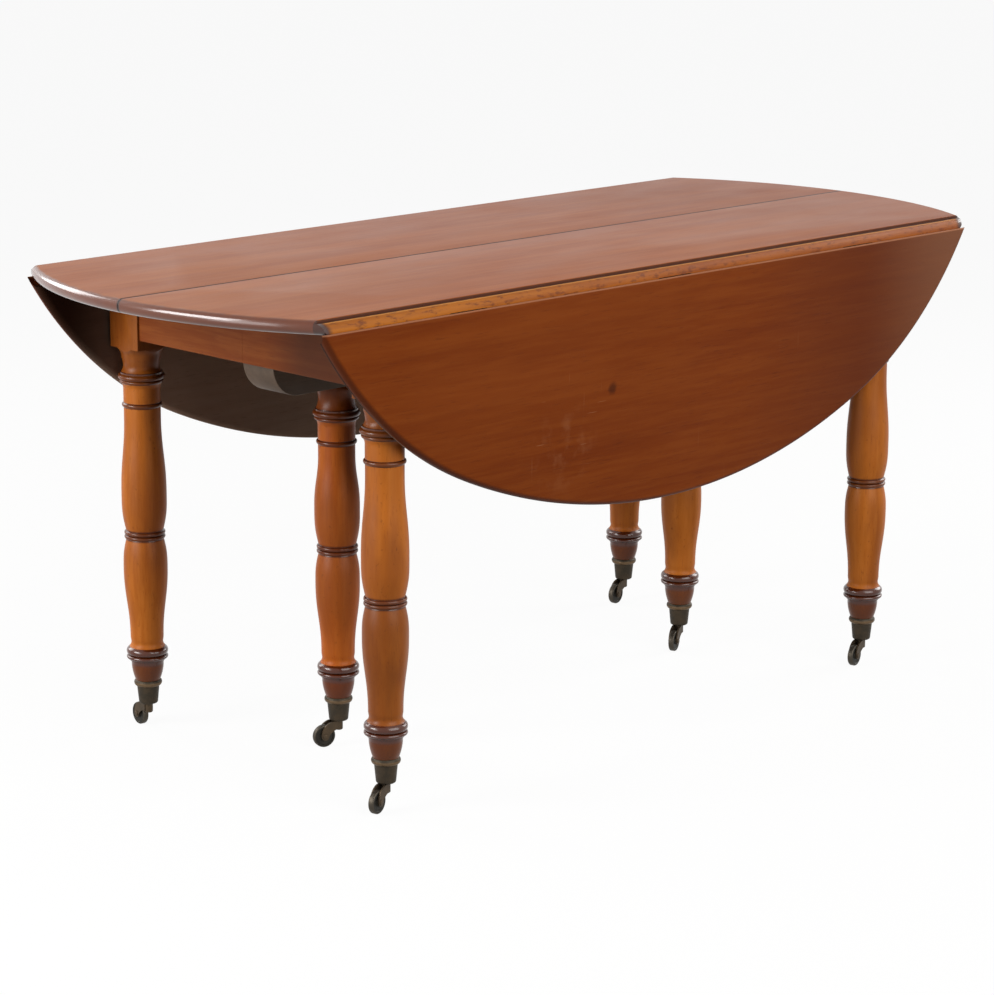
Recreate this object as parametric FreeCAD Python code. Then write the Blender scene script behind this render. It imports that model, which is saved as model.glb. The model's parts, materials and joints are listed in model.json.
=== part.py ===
"""Extending oval dining table with drop leaves, turned legs and castors.

The top is split along its length. Its two halves, each with a side apron, two corner legs and a
drop leaf, pull apart across the table on wooden runners. Two centre legs under a long beam stay
in the middle and carry the runners. The table is drawn closed, with both leaves hanging.
Millimetres, X along the table, Y across it, Z up from the floor, origin under the middle.
"""
import FreeCAD, Part
import math
import os

Vec = FreeCAD.Vector
UP = Vec(0, 0, 1)
ALONG = Vec(1, 0, 0)
ACROSS = Vec(0, 1, 0)
ORIGIN = Vec(0, 0, 0)

# Top and leaves
HEIGHT = 721.0           # floor to the top's upper face
OVAL_LENGTH = 1550.0     # length of the oval that the top makes with its leaves raised
OVAL_WIDTH = 1266.0      # width of that oval
JOIN_ANGLE = 66.16       # degrees, how far its end arcs turn before its side arcs take over
FIXED_WIDTH = 608.0      # width of the top between the two rule joints
BOARD = 20.0             # thickness of top and leaves
EDGE_ROUND = 8.5         # rounding of the oval edge, above and below
SPLIT_GAP = 1.2          # gap between the two halves of the top
SPLIT_EASE = 1.0         # chamfer along the upper edges of the split

# Rule joint, a quarter round on the top under a hollow on the leaf
RULE_FILLET = 4.0        # upright step above the quarter round
RULE_ROUND = 14.0        # radius of the quarter round, centred on the hinge pins
RULE_GAP = 0.6           # room between the quarter round and the leaf's hollow
LIP_GAP = 0.6            # room between the step and the leaf's lip

# Hinges under the rule joints
HINGE_SPOTS = (-420.0, 0.0, 420.0)
HINGE_LENGTH = 70.0
HINGE_PLATE = 2.0        # thickness of the plates
TOP_PLATE_REACH = 28.0   # from the pin to the end of the plate on the top
LEAF_PLATE_REACH = 44.0  # from the pin to the end of the plate on the leaf
KNUCKLE_R = 4.2
KNUCKLE_SHARE = 28.0     # length of the leaf plate's knuckle, between the top plate's two
KNUCKLE_GAP = 0.5        # end play beside that knuckle
KNUCKLE_ROOM = 0.5       # room round the knuckles in the wood
HINGE_PIN_R = 2.0
HINGE_RUN = 0.06         # running clearance of the pins
PLATE_FIT = 0.2          # room round the plates in the wood
SCREW_SPREAD = 24.0      # from the middle screw of a plate to its neighbours
TOP_SCREW_OUT = 18.0     # from the pin to the screws of the top plate
LEAF_SCREW_OUT = 30.0    # from the pin to the screws of the leaf plate
SCREW_R = 1.8
SCREW_HEAD_R = 3.4
SCREW_LENGTH = 12.0
SCREW_FIT = 0.15

# Frame
END_OVERHANG = 248.0     # from the end of the top in to the corner legs' axes
SIDE_OVERHANG = 40.0     # from the rule joint in to the corner legs' axes
CENTRE_LEG_IN = 149.0    # from the corner legs' axes in to the centre legs', along the table
BLOCK = 64.0             # side of the square block on a corner leg
BLOCK_HEIGHT = 113.0     # full square part of the block, measured at its corners
BLOCK_EASE = 1.5         # chamfer on the block's edges
SHOULDER = 17.0          # turned hollow that rounds off the block's lower end
SHOULDER_TOP_R = 36.0    # its upper end, where the block's corners are cut level
SHOULDER_R = 29.0        # its lower end
SHOULDER_LEAD = 0.9      # slope of the hollow at its upper end
SHOULDER_TRAIL = 0.1     # and at its lower end
APRON_HEIGHT = 98.0
APRON = 22.0             # thickness of the aprons
APRON_SETBACK = 4.0      # from the block's face to the apron's face
TENON = 9.0              # thickness of the aprons' tenons
TENON_LENGTH = 25.0
TENON_SHOULDER = 14.0    # apron left above and below a tenon
TENON_FIT = 0.2

# Middle beam and runners
BEAM_WIDTH = 66.0
BEAM_PAST = 149.0        # how far the beam runs on past the centre legs' axes
BEAM_DROP = 52.0         # how far the beam hangs below the aprons
BEAM_NOSE = 48.0         # radius of the beam's lower ends
RUNNER_WIDTH = 28.0
RUNNER_HEIGHT = 57.0
RUNNER_SET_X = 190.0     # middle of each set of five runners
RUNNER_PLAY = 0.6        # gap between neighbouring runners
RUNNER_END = 3.0         # gap from a runner's free end to the apron
SLIDE_GAP = 0.5          # gap above and below the sliding runners
KEY_DEPTH = 8.0          # dovetail key along a runner
KEY_ROOT = 12.0
KEY_TIP = 17.0
KEY_FIT = 0.4
RUNNER_ORDER = ("near", "near_middle", "carriage", "far_middle", "far")

# Lopers, their keepers and the pegs in the split
LOPER_X = 320.0
LOPER_WIDTH = 34.0
LOPER_HEIGHT = 32.0
LOPER_INNER = 40.0       # inner end, from the middle of the table
LOPER_INSET = 1.0        # outer end behind the apron's face
LOPER_FIT = 0.3
KEEPER_WALL = 12.0
KEEPER_LENGTH = 36.0
PEG_SPOTS = (-450.0, 0.0, 450.0)
PEG_R = 5.0
PEG_LENGTH = 40.0
PEG_FIT = 0.1            # room in the half that holds the peg
PEG_ROOM = 0.5           # room in the half that slides on to it

# Turned legs: drops are below the top of the turning, rises are above the castor socket
CAP_R = 29.2             # cap on a centre leg, under the beam
CAP_HEIGHT = 9.0
CAP_ROUND = 0.8
NECK_R = 26.6            # narrowest part of the hollow above the big ring
NECK_DROP = 24.0         # on a centre leg
SHORT_NECK_R = 28.0      # the same hollow under a corner leg's shoulder
NECK_FLARE = 0.7         # slope of that hollow where it meets the big ring
COLLAR_R = 31.6          # thin collar on the big ring
COLLAR_DROP = 37.5
COLLAR_HEIGHT = 2.5
BIG_RING_R = 35.0
BIG_RING_BASE = 30.2
BIG_RING_HEIGHT = 8.5
UNDER_RING_R = 32.6      # smaller bead under the big ring
UNDER_RING_HEIGHT = 5.5
DRUM_R = 27.5            # straight length between the two rings
DRUM_DROP = 66.0
DRUM_FLARE = 0.6         # slope of the drum where it meets the big ring
SMALL_RING_DROP = 83.5
SMALL_RING_HEIGHT = 7.0
SMALL_RING_R = 30.0
VASE_R = 27.3            # upper end of the upper vase
VASE_DROP = 108.0
UPPER_SWELL_R = 33.6
UPPER_SWELL_RISE = 292.0
WAIST_R = 27.8           # on both sides of the double ring
WAIST_RISE = 226.0
WAIST_SLOPE = 0.25       # slope of both vases where they meet the double ring
DOUBLE_RING_R = 30.6
DOUBLE_RING_HEIGHT = 13.0
LOWER_SWELL_R = 32.9
LOWER_SWELL_RISE = 174.0
ANKLE_R = 24.8
ANKLE_RISE = 68.0
KNEE_RISE = 41.5         # crease between the two beads of the knee ring
KNEE_R = 31.2
KNEE_BASE = 27.0
KNEE_UPPER_HEIGHT = 9.5
KNEE_LOWER_HEIGHT = 7.0
KNEE_FLARE = 0.8         # slope of the ankle where it meets the knee ring
THIN_RING_R = 26.2       # thin ring under the knee ring
THIN_RING_HEIGHT = 3.0
CUP_R = 24.2             # round foot above the castor socket
CUP_FOOT_R = 18.6
CUP_BULGE = 1.6
CURVE_HOLD = 0.42        # share of a curve's height over which its end slopes hold

# Castors
WHEEL_R = 17.0
WHEEL_WIDTH = 9.0
WHEEL_ROUND = 2.0        # rounding of the tread's edges
WHEEL_DISH = 1.2         # depth of the dished sides
WHEEL_RIM = 4.5
WHEEL_CLEAR = 5.3        # from the wheel's height up to the socket
WHEEL_BEHIND = 0.8       # between the wheel and the horn's neck
HUB_R = 5.5
AXLE_R = 2.5
AXLE_RUN = 0.06          # running clearance of the wheel on its axle
RIVET_HEAD_R = 4.0
RIVET_HEAD = 1.2
HORN_R = 6.2             # neck of the horn, on the swivel's axis
HORN_ROUND = 2.2         # rounding under the neck
HORN_ABOVE = 7.0         # from the axle's height up to the neck's lower end
ARM = 2.6                # thickness of the horn's arms
ARM_GAP = 0.4            # room beside the wheel's hub
ARM_EYE_R = 6.0
ARM_RUN = 11.0           # level top of an arm, from the swivel's axis
ARM_BOW_OUT = 1.3        # a point on the arm's round back, beyond the axle
ARM_BOW_UP = 14.6        # and above it
ARM_HOLLOW_IN = 9.5      # a point on the arm's underside, short of the axle
ARM_HOLLOW_UP = 4.5      # and above it
SWIVEL_GAP = 0.4         # between the neck and the socket
STEM_R = 4.0
STEM_RUN = 0.06          # running clearance of the stem in the socket
STEM_HEAD_R = 6.5
STEM_HEAD = 2.6
SOCKET_HEIGHT = 37.6
SOCKET_FLOOR = 4.2
SOCKET_TOP_R = 16.8      # under the socket's ring
SOCKET_FOOT_R = 14.4
SOCKET_ROUND = 3.0       # rounding of the socket's lower edge
SOCKET_RING_R = 21.0
SOCKET_RING_HEIGHT = 10.0
SOCKET_WALL = 2.6
SPIGOT_FIT = 0.2
SPIGOT_ROOM = 5.0        # room for the stem's head under the leg's spigot

# Where each wheel trails at rest, in degrees from +X towards +Y
CASTOR_TURN = {
    "near_left": 195.0,
    "near_right": 193.0,
    "far_left": 83.0,
    "far_right": 189.0,
    "left_centre": 161.0,
    "right_centre": 203.0,
}

# Levels and places worked out from the sizes above
underside = HEIGHT - BOARD
oval_a = OVAL_LENGTH / 2
oval_b = OVAL_WIDTH / 2
join_angle = math.radians(JOIN_ANGLE)
side_bulge = (1 - math.sin(join_angle)) / math.cos(join_angle)
end_r = (oval_b - oval_a * side_bulge) / (1 - side_bulge)
end_x = oval_a - end_r
side_drop = end_x * math.tan(join_angle)
side_r = oval_b + side_drop
rule_y = FIXED_WIDTH / 2
pin_z = HEIGHT - RULE_FILLET - RULE_ROUND
hollow_r = RULE_ROUND + RULE_GAP
split_y = SPLIT_GAP / 2
leg_x = oval_a - END_OVERHANG
leg_y = rule_y - SIDE_OVERHANG
centre_leg_x = leg_x - CENTRE_LEG_IN
block_bottom = underside - BLOCK_HEIGHT
shoulder_bottom = block_bottom - SHOULDER
apron_bottom = underside - APRON_HEIGHT
block_in_x = leg_x - BLOCK / 2
block_in_y = leg_y - BLOCK / 2
end_face_x = leg_x + BLOCK / 2 - APRON_SETBACK
side_face_y = leg_y + BLOCK / 2 - APRON_SETBACK
side_inner_y = side_face_y - APRON
runner_top = underside - SLIDE_GAP
runner_bottom = runner_top - RUNNER_HEIGHT
beam_top = runner_bottom - SLIDE_GAP
beam_bottom = apron_bottom - BEAM_DROP
loper_top = underside - LOPER_FIT
loper_bottom = loper_top - LOPER_HEIGHT
socket_bottom = 2 * WHEEL_R + WHEEL_CLEAR
horn_top = socket_bottom - SWIVEL_GAP
horn_bottom = WHEEL_R + HORN_ABOVE
trail = WHEEL_R + WHEEL_BEHIND + HORN_R
socket_top = socket_bottom + SOCKET_HEIGHT
spigot_end = socket_bottom + SOCKET_FLOOR + SPIGOT_ROOM
CUT = 1.0                # how far a cutting shape reaches past the face that it cuts


def box(low, high):
    """Box between two opposite corners."""
    size = [b - a for a, b in zip(low, high)]
    return Part.makeBox(*size, Vec(*low))


def cylinder_x(radius, x_low, x_high, y, z):
    """Cylinder along the table."""
    return Part.makeCylinder(radius, x_high - x_low, Vec(x_low, y, z), ALONG)


def prism(edges, push):
    """Solid swept by a closed outline."""
    return Part.Face(Part.Wire(edges)).extrude(push)


def outline(points):
    """Edges of a closed polygon."""
    return Part.makePolygon(points + points[:1]).Edges


def on_side(shape, side):
    """A shape drawn on the far side, or its mirror image on the near side."""
    return shape if side == "far" else shape.mirror(ORIGIN, ACROSS)


def flipped(shape):
    """The same shape at the table's other end."""
    return shape.mirror(ORIGIN, ALONG)


class Turning:
    """Outline of a turned piece, followed downwards from its top and spun about the Z axis."""

    def __init__(self, radius, z):
        self.at = Vec(radius, 0, z)
        self.top = z
        self.edges = []

    def curve(self, maker, *points):
        end = points[-1]
        self.edges.append(maker(self.at, *points))
        self.at = end

    def line(self, radius, z):
        self.curve(Part.makeLine, Vec(radius, 0, z))

    def step(self, radius):
        self.line(radius, self.at.z)

    def arc(self, mid_radius, mid_z, radius, z):
        make = lambda a, b, c: Part.Arc(a, b, c).toShape()
        self.curve(make, Vec(mid_radius, 0, mid_z), Vec(radius, 0, z))

    def bead(self, crest, height):
        """Half-round ring that comes back to the radius that it starts from."""
        low = self.at.z - height
        self.arc(crest, self.at.z - height / 2, self.at.x, low)

    def flow(self, lead, radius, z, trail):
        """Smooth curve whose ends leave at the given slopes, in radius per height."""
        def make(start, end):
            reach = (end.z - start.z) * CURVE_HOLD
            bezier = Part.BezierCurve()
            bezier.setPoles([start, start + Vec(lead * reach, 0, reach),
                             end - Vec(trail * reach, 0, reach), end])
            return bezier.toShape()
        self.curve(make, Vec(radius, 0, z))

    def solid(self):
        bottom = self.at.z
        start = self.edges[0].Vertexes[0].Point
        closing = [Part.makeLine(self.at, Vec(0, 0, bottom)),
                   Part.makeLine(Vec(0, 0, bottom), Vec(0, 0, self.top)),
                   Part.makeLine(Vec(0, 0, self.top), start)]
        return Part.Face(Part.Wire(self.edges + closing)).revolve(ORIGIN, UP, 360)


def oval_x(y):
    """Half-length of the oval at a distance from its long axis, along its end arcs."""
    return end_x + math.sqrt(end_r ** 2 - y ** 2)


def arc(x, y, radius, start, end):
    """Level arc about a centre, from one angle to another."""
    return Part.ArcOfCircle(Part.Circle(Vec(x, y, 0), UP, radius), start, end).toShape()


def end_arc(y_start, y_end, left):
    """Stretch of the oval's right-hand or left-hand end between two distances from its long axis."""
    start, end = math.asin(y_start / end_r), math.asin(y_end / end_r)
    if left:
        return arc(-end_x, 0, end_r, math.pi - end, math.pi - start)
    return arc(end_x, 0, end_r, start, end)


def leaf_arcs(lip_y):
    """The oval's far side beyond a leaf's lip: the rest of both end arcs and the side arc between."""
    lip_angle = math.asin(lip_y / end_r)
    return [arc(end_x, 0, end_r, lip_angle, join_angle),
            arc(0, -side_drop, side_r, join_angle, math.pi - join_angle),
            arc(-end_x, 0, end_r, math.pi - join_angle, math.pi - lip_angle)]


def rounded_board(edges):
    """Board with the given outline, its oval edges rounded above and below."""
    board = prism(edges, UP * BOARD)
    rims = [e for e in board.Edges if isinstance(e.Curve, Part.Circle)]
    return board.makeFillet(EDGE_ROUND, rims)


def hinge_bed(reach):
    """Recesses for hinge plates that reach a distance off the pin line, leaf raised."""
    beds = []
    for x in HINGE_SPOTS:
        half = HINGE_LENGTH / 2 + PLATE_FIT
        y_low, y_high = sorted((rule_y, rule_y + reach))
        beds.append(box((x - half, y_low, underside - CUT),
                        (x + half, y_high, underside + HINGE_PLATE + PLATE_FIT)))
    return beds


def screw_holes(distance):
    """Holes for the hinge screws, seen from the underside."""
    return [Part.makeCylinder(SCREW_R + SCREW_FIT, SCREW_LENGTH + SCREW_FIT + CUT,
                              Vec(x + dx, rule_y + distance, underside - CUT), UP)
            for x in HINGE_SPOTS for dx in (-SCREW_SPREAD, 0, SCREW_SPREAD)]


def half_top(side):
    """One half of the top with the quarter round of its rule joint."""
    far_y = rule_y + RULE_ROUND
    x_in, x_out = oval_x(split_y), oval_x(far_y)
    board = rounded_board([
        Part.makeLine(Vec(-x_in, split_y, 0), Vec(x_in, split_y, 0)),
        end_arc(split_y, far_y, left=False),
        Part.makeLine(Vec(x_out, far_y, 0), Vec(-x_out, far_y, 0)),
        end_arc(split_y, far_y, left=True)])
    board.translate(UP * underside)
    reach = oval_a + CUT
    cosine = math.sqrt(0.5)
    crest = Vec(-reach, rule_y, pin_z + RULE_ROUND)
    middle = Vec(-reach, rule_y + RULE_ROUND * cosine, pin_z + RULE_ROUND * cosine)
    foot = Vec(-reach, far_y, pin_z)
    out = [foot + Vec(0, CUT, 0), Vec(-reach, far_y + CUT, HEIGHT + CUT),
           Vec(-reach, rule_y, HEIGHT + CUT)]
    waste = [Part.Arc(crest, middle, foot).toShape()]
    for start, end in zip([foot] + out, out + [crest]):
        waste.append(Part.makeLine(start, end))
    ease = outline([Vec(-reach, split_y - CUT, HEIGHT - SPLIT_EASE - CUT),
                    Vec(-reach, split_y - CUT, HEIGHT + CUT),
                    Vec(-reach, split_y + SPLIT_EASE + CUT, HEIGHT + CUT)])
    cuts = [prism(waste, ALONG * 2 * reach), prism(ease, ALONG * 2 * reach)]
    cuts += hinge_bed(-TOP_PLATE_REACH - PLATE_FIT) + hinge_bed(RULE_ROUND + CUT)
    cuts += screw_holes(-TOP_SCREW_OUT)
    half = HINGE_LENGTH / 2 + PLATE_FIT
    cuts += [cylinder_x(KNUCKLE_R + KNUCKLE_ROOM, x - half, x + half, rule_y, pin_z)
             for x in HINGE_SPOTS]
    room = PEG_FIT if side == "near" else PEG_ROOM
    cuts += [Part.makeCylinder(PEG_R + room, PEG_LENGTH / 2 + room + CUT,
                               Vec(x, -CUT, HEIGHT - BOARD / 2), ACROSS) for x in PEG_SPOTS]
    return on_side(board.cut(cuts), side)


def raised_leaf():
    """Drop leaf of the far side, drawn raised, level with the top."""
    lip_y = rule_y + LIP_GAP
    x_lip = oval_x(lip_y)
    lip = Part.makeLine(Vec(-x_lip, lip_y, 0), Vec(x_lip, lip_y, 0))
    board = rounded_board([lip] + leaf_arcs(lip_y))
    board.translate(UP * underside)
    reach = oval_a + CUT
    cuts = [cylinder_x(hollow_r, -reach, reach, rule_y, pin_z),
            box((-reach, rule_y, underside - CUT), (reach, rule_y + hollow_r, pin_z))]
    cuts += hinge_bed(LEAF_PLATE_REACH + PLATE_FIT)
    cuts += screw_holes(LEAF_SCREW_OUT)
    return board.cut(cuts)


def hung(shape):
    """A leaf piece of the far side, turned down about the hinge pins from raised to hanging."""
    shape = shape.copy()
    shape.rotate(Vec(0, rule_y, pin_z), ALONG, -90)
    return shape


def plate_with_holes(low, high, x, distance):
    """Hinge plate with holes for its countersunk screws, open to the underside."""
    plate = box(low, high)
    holes = []
    for dx in (-SCREW_SPREAD, 0, SCREW_SPREAD):
        spot = Vec(x + dx, rule_y + distance, underside)
        holes.append(Part.makeCone(SCREW_HEAD_R + SCREW_FIT, SCREW_R + SCREW_FIT,
                                   HINGE_PLATE, spot, UP))
    return plate.cut(holes)


def top_plate(x):
    """Hinge plate on the top, with the two outer knuckles and the pin held in them."""
    half, share = HINGE_LENGTH / 2, KNUCKLE_SHARE / 2 + KNUCKLE_GAP
    clear = KNUCKLE_R + KNUCKLE_ROOM
    plate = plate_with_holes((x - half, rule_y - TOP_PLATE_REACH, underside),
                             (x + half, rule_y - clear, underside + HINGE_PLATE),
                             x, -TOP_SCREW_OUT)
    for low, high in ((x - half, x - share), (x + share, x + half)):
        strap = box((low, rule_y - clear, underside), (high, rule_y, underside + HINGE_PLATE))
        plate = plate.fuse([strap, cylinder_x(KNUCKLE_R, low, high, rule_y, pin_z)])
    bore = cylinder_x(HINGE_PIN_R, x - half - CUT, x + half + CUT, rule_y, pin_z)
    return plate.cut(bore).removeSplitter()


def leaf_plate(x):
    """Hinge plate on the leaf, drawn raised, with the middle knuckle."""
    half, share = HINGE_LENGTH / 2, KNUCKLE_SHARE / 2
    clear = KNUCKLE_R + KNUCKLE_ROOM
    plate = plate_with_holes((x - half, rule_y + clear, underside),
                             (x + half, rule_y + LEAF_PLATE_REACH, underside + HINGE_PLATE),
                             x, LEAF_SCREW_OUT)
    strap = box((x - share, rule_y, underside),
                (x + share, rule_y + clear, underside + HINGE_PLATE))
    knuckle = cylinder_x(KNUCKLE_R, x - share, x + share, rule_y, pin_z)
    bore = cylinder_x(HINGE_PIN_R + HINGE_RUN, x - half, x + half, rule_y, pin_z)
    return plate.fuse([strap, knuckle]).cut(bore).removeSplitter()


def hinge_screws(distance):
    """Countersunk screws that hold the plates up to the wood."""
    screws = []
    for x in HINGE_SPOTS:
        for dx in (-SCREW_SPREAD, 0, SCREW_SPREAD):
            spot = Vec(x + dx, rule_y + distance, underside)
            head = Part.makeCone(SCREW_HEAD_R, SCREW_R, HINGE_PLATE, spot, UP)
            shank = Part.makeCylinder(SCREW_R, SCREW_LENGTH, spot, UP)
            screws.append(head.fuse(shank).removeSplitter())
    return Part.makeCompound(screws)


def hinge_pins():
    """The three pins of one side."""
    half = HINGE_LENGTH / 2
    return Part.makeCompound([cylinder_x(HINGE_PIN_R, x - half, x + half, rule_y, pin_z)
                              for x in HINGE_SPOTS])


def shouldered_block():
    """Square block of a corner leg, its lower end rounded off by the turning."""
    half = BLOCK / 2
    block = box((-half, -half, shoulder_bottom), (half, half, underside))
    uprights = [e for e in block.Edges if abs(e.Vertexes[0].Z - e.Vertexes[1].Z) > CUT]
    block = block.makeChamfer(BLOCK_EASE, uprights)
    shoulder = Turning(BLOCK, underside)
    shoulder.line(BLOCK, block_bottom)
    shoulder.step(SHOULDER_TOP_R)
    shoulder.flow(SHOULDER_LEAD, SHOULDER_R, shoulder_bottom, SHOULDER_TRAIL)
    return block.common(shoulder.solid())


def short_neck():
    """Corner leg's turning from under its shoulder down to the big ring."""
    neck = Turning(SHORT_NECK_R, shoulder_bottom)
    end = block_bottom - COLLAR_DROP
    neck.flow(0, BIG_RING_BASE, end, -NECK_FLARE)
    return neck


def capped_neck():
    """Centre leg's turning from the beam down to the big ring: its cap and hollow neck."""
    head = Turning(CAP_R, beam_bottom)
    head.bead(CAP_R + CAP_ROUND, CAP_HEIGHT)
    head.arc(NECK_R, beam_bottom - NECK_DROP, BIG_RING_BASE, beam_bottom - COLLAR_DROP)
    return head


def turned_leg(leg, top):
    """Turned leg, followed on from its head down to the spigot in the castor."""
    leg.step(COLLAR_R)
    leg.line(COLLAR_R, leg.at.z - COLLAR_HEIGHT)
    leg.step(BIG_RING_BASE)
    leg.bead(BIG_RING_R, BIG_RING_HEIGHT)
    leg.bead(UNDER_RING_R, UNDER_RING_HEIGHT)
    leg.flow(DRUM_FLARE, DRUM_R, top - DRUM_DROP, 0)
    leg.line(DRUM_R, top - SMALL_RING_DROP)
    leg.bead(SMALL_RING_R, SMALL_RING_HEIGHT)
    leg.step(VASE_R)
    leg.line(VASE_R, top - VASE_DROP)
    leg.flow(0, UPPER_SWELL_R, socket_top + UPPER_SWELL_RISE, 0)
    half_ring = DOUBLE_RING_HEIGHT / 2
    leg.flow(0, WAIST_R, socket_top + WAIST_RISE + half_ring, WAIST_SLOPE)
    leg.bead(DOUBLE_RING_R, half_ring)
    leg.bead(DOUBLE_RING_R, half_ring)
    leg.flow(-WAIST_SLOPE, LOWER_SWELL_R, socket_top + LOWER_SWELL_RISE, 0)
    leg.flow(0, ANKLE_R, socket_top + ANKLE_RISE, 0)
    leg.flow(0, KNEE_BASE, socket_top + KNEE_RISE + KNEE_UPPER_HEIGHT, -KNEE_FLARE)
    leg.bead(KNEE_R, KNEE_UPPER_HEIGHT)
    leg.bead(KNEE_R, KNEE_LOWER_HEIGHT)
    leg.step(THIN_RING_R)
    leg.line(THIN_RING_R, leg.at.z - THIN_RING_HEIGHT)
    leg.step(CUP_R)
    mid_r = (CUP_R + CUP_FOOT_R) / 2 + CUP_BULGE
    leg.arc(mid_r, (leg.at.z + socket_top) / 2, CUP_FOOT_R, socket_top)
    leg.step(SOCKET_TOP_R - SOCKET_WALL - SPIGOT_FIT)
    leg.line(SOCKET_FOOT_R - SOCKET_WALL - SPIGOT_FIT, spigot_end)
    return leg.solid()


def end_tenon(room):
    """Tenon of the far right end apron, with room round it where it is a mortise."""
    mid = end_face_x - APRON / 2
    return box((mid - TENON / 2 - room, block_in_y, apron_bottom + TENON_SHOULDER - room),
               (mid + TENON / 2 + room, block_in_y + TENON_LENGTH + room,
                underside - TENON_SHOULDER + room))


def side_tenon(room):
    """Right-hand tenon of the far side apron, with room round it where it is a mortise."""
    mid = side_face_y - APRON / 2
    return box((block_in_x, mid - TENON / 2 - room, apron_bottom + TENON_SHOULDER - room),
               (block_in_x + TENON_LENGTH + room, mid + TENON / 2 + room,
                underside - TENON_SHOULDER + room))


def corner_leg():
    """Far right corner leg: a shouldered block with two mortises over the turned part."""
    leg = shouldered_block().fuse(turned_leg(short_neck(), block_bottom))
    leg.translate(Vec(leg_x, leg_y, 0))
    return leg.cut([end_tenon(TENON_FIT), side_tenon(TENON_FIT)]).removeSplitter()


def end_apron():
    """Far half of the right-hand end apron."""
    panel = box((end_face_x - APRON, split_y, apron_bottom), (end_face_x, block_in_y, underside))
    return panel.fuse(end_tenon(0)).removeSplitter()


def side_apron():
    """Far side apron, notched for the lopers."""
    panel = box((-block_in_x, side_inner_y, apron_bottom), (block_in_x, side_face_y, underside))
    panel = panel.fuse([side_tenon(0), flipped(side_tenon(0))]).removeSplitter()
    half = LOPER_WIDTH / 2 + LOPER_FIT
    notches = [box((x - half, side_inner_y - CUT, loper_bottom),
                   (x + half, side_face_y + CUT, underside + CUT)) for x in (-LOPER_X, LOPER_X)]
    return panel.cut(notches)


def lopers():
    """Far pair of lopers, pushed in."""
    half = LOPER_WIDTH / 2
    return Part.makeCompound([box((x - half, LOPER_INNER, loper_bottom),
                                  (x + half, side_face_y - LOPER_INSET, loper_top))
                              for x in (-LOPER_X, LOPER_X)])


def loper_keepers():
    """Far pair of keepers, which hold the lopers' inner ends up to the top."""
    inside = LOPER_WIDTH / 2 + LOPER_FIT
    outside = inside + KEEPER_WALL
    keepers = []
    for x in (-LOPER_X, LOPER_X):
        block = box((x - outside, LOPER_INNER, loper_bottom - KEEPER_WALL),
                    (x + outside, LOPER_INNER + KEEPER_LENGTH, underside))
        channel = box((x - inside, LOPER_INNER - CUT, loper_bottom),
                      (x + inside, LOPER_INNER + KEEPER_LENGTH + CUT, underside + CUT))
        keepers.append(block.cut(channel))
    return Part.makeCompound(keepers)


def pegs():
    """Pegs in the split edge of the near half."""
    level = HEIGHT - BOARD / 2
    return Part.makeCompound([Part.makeCylinder(PEG_R, PEG_LENGTH, Vec(x, -PEG_LENGTH / 2, level), ACROSS)
                              for x in PEG_SPOTS])


def centre_beam():
    """Long beam over the two centre legs, its lower ends rounded."""
    half, side = centre_leg_x + BEAM_PAST, BEAM_WIDTH / 2
    beam = box((-half, -side, beam_bottom), (half, side, beam_top))
    low_edges = [e for e in beam.Edges if abs(e.CenterOfMass.z - beam_bottom) < CUT]
    noses = [e for e in low_edges if abs(abs(e.CenterOfMass.x) - half) < CUT]
    return beam.makeFillet(BEAM_NOSE, noses)


def dovetail(face_x, room, y_low, y_high):
    """Dovetail key that stands out of a runner's +X face, with room round it where it is a groove."""
    mid = (runner_top + runner_bottom) / 2
    root, tip = KEY_ROOT / 2 + room, KEY_TIP / 2 + room
    reach = face_x + KEY_DEPTH + room
    return prism(outline([Vec(face_x, y_low, mid - root), Vec(reach, y_low, mid - tip),
                          Vec(reach, y_low, mid + tip), Vec(face_x, y_low, mid + root)]),
                 ACROSS * (y_high - y_low))


def runner(set_x, place, name):
    """One of a set's runners, counted from the near frame's to the far frame's."""
    last = len(RUNNER_ORDER) - 1
    x_low = set_x + (place - last / 2) * (RUNNER_WIDTH + RUNNER_PLAY) - RUNNER_WIDTH / 2
    x_high = x_low + RUNNER_WIDTH
    free = side_inner_y - RUNNER_END
    y_low = -side_inner_y if name == "near" else -free
    y_high = side_inner_y if name == "far" else free
    bottom = beam_top if name == "carriage" else runner_bottom
    bar = box((x_low, y_low, bottom), (x_high, y_high, runner_top))
    if place < last:
        bar = bar.fuse(dovetail(x_high, 0, y_low, y_high)).removeSplitter()
    if place > 0:
        groove = dovetail(x_low - RUNNER_PLAY, KEY_FIT, y_low - CUT, y_high + CUT)
        bar = bar.cut(groove)
    return bar


def castor_socket():
    """Metal cup on the leg's foot, with the bore that the horn's stem turns in."""
    cup = Turning(CUP_FOOT_R, socket_top)
    ring_low = socket_top - SOCKET_RING_HEIGHT
    cup.arc(SOCKET_RING_R, socket_top - SOCKET_RING_HEIGHT / 2, SOCKET_TOP_R, ring_low)
    cup.line(SOCKET_FOOT_R, socket_bottom + SOCKET_ROUND)
    inset = SOCKET_ROUND * (1 - math.sqrt(0.5))
    cup.arc(SOCKET_FOOT_R - inset, socket_bottom + inset,
            SOCKET_FOOT_R - SOCKET_ROUND, socket_bottom)
    hollow = Turning(SOCKET_TOP_R - SOCKET_WALL, socket_top)
    hollow.line(SOCKET_FOOT_R - SOCKET_WALL, spigot_end)
    hollow.line(SOCKET_FOOT_R - SOCKET_WALL, socket_bottom + SOCKET_FLOOR)
    bore = Part.makeCylinder(STEM_R + STEM_RUN, SOCKET_FLOOR + 2 * CUT,
                             Vec(0, 0, socket_bottom - CUT), UP)
    return cup.solid().cut([hollow.solid(), bore])


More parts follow.
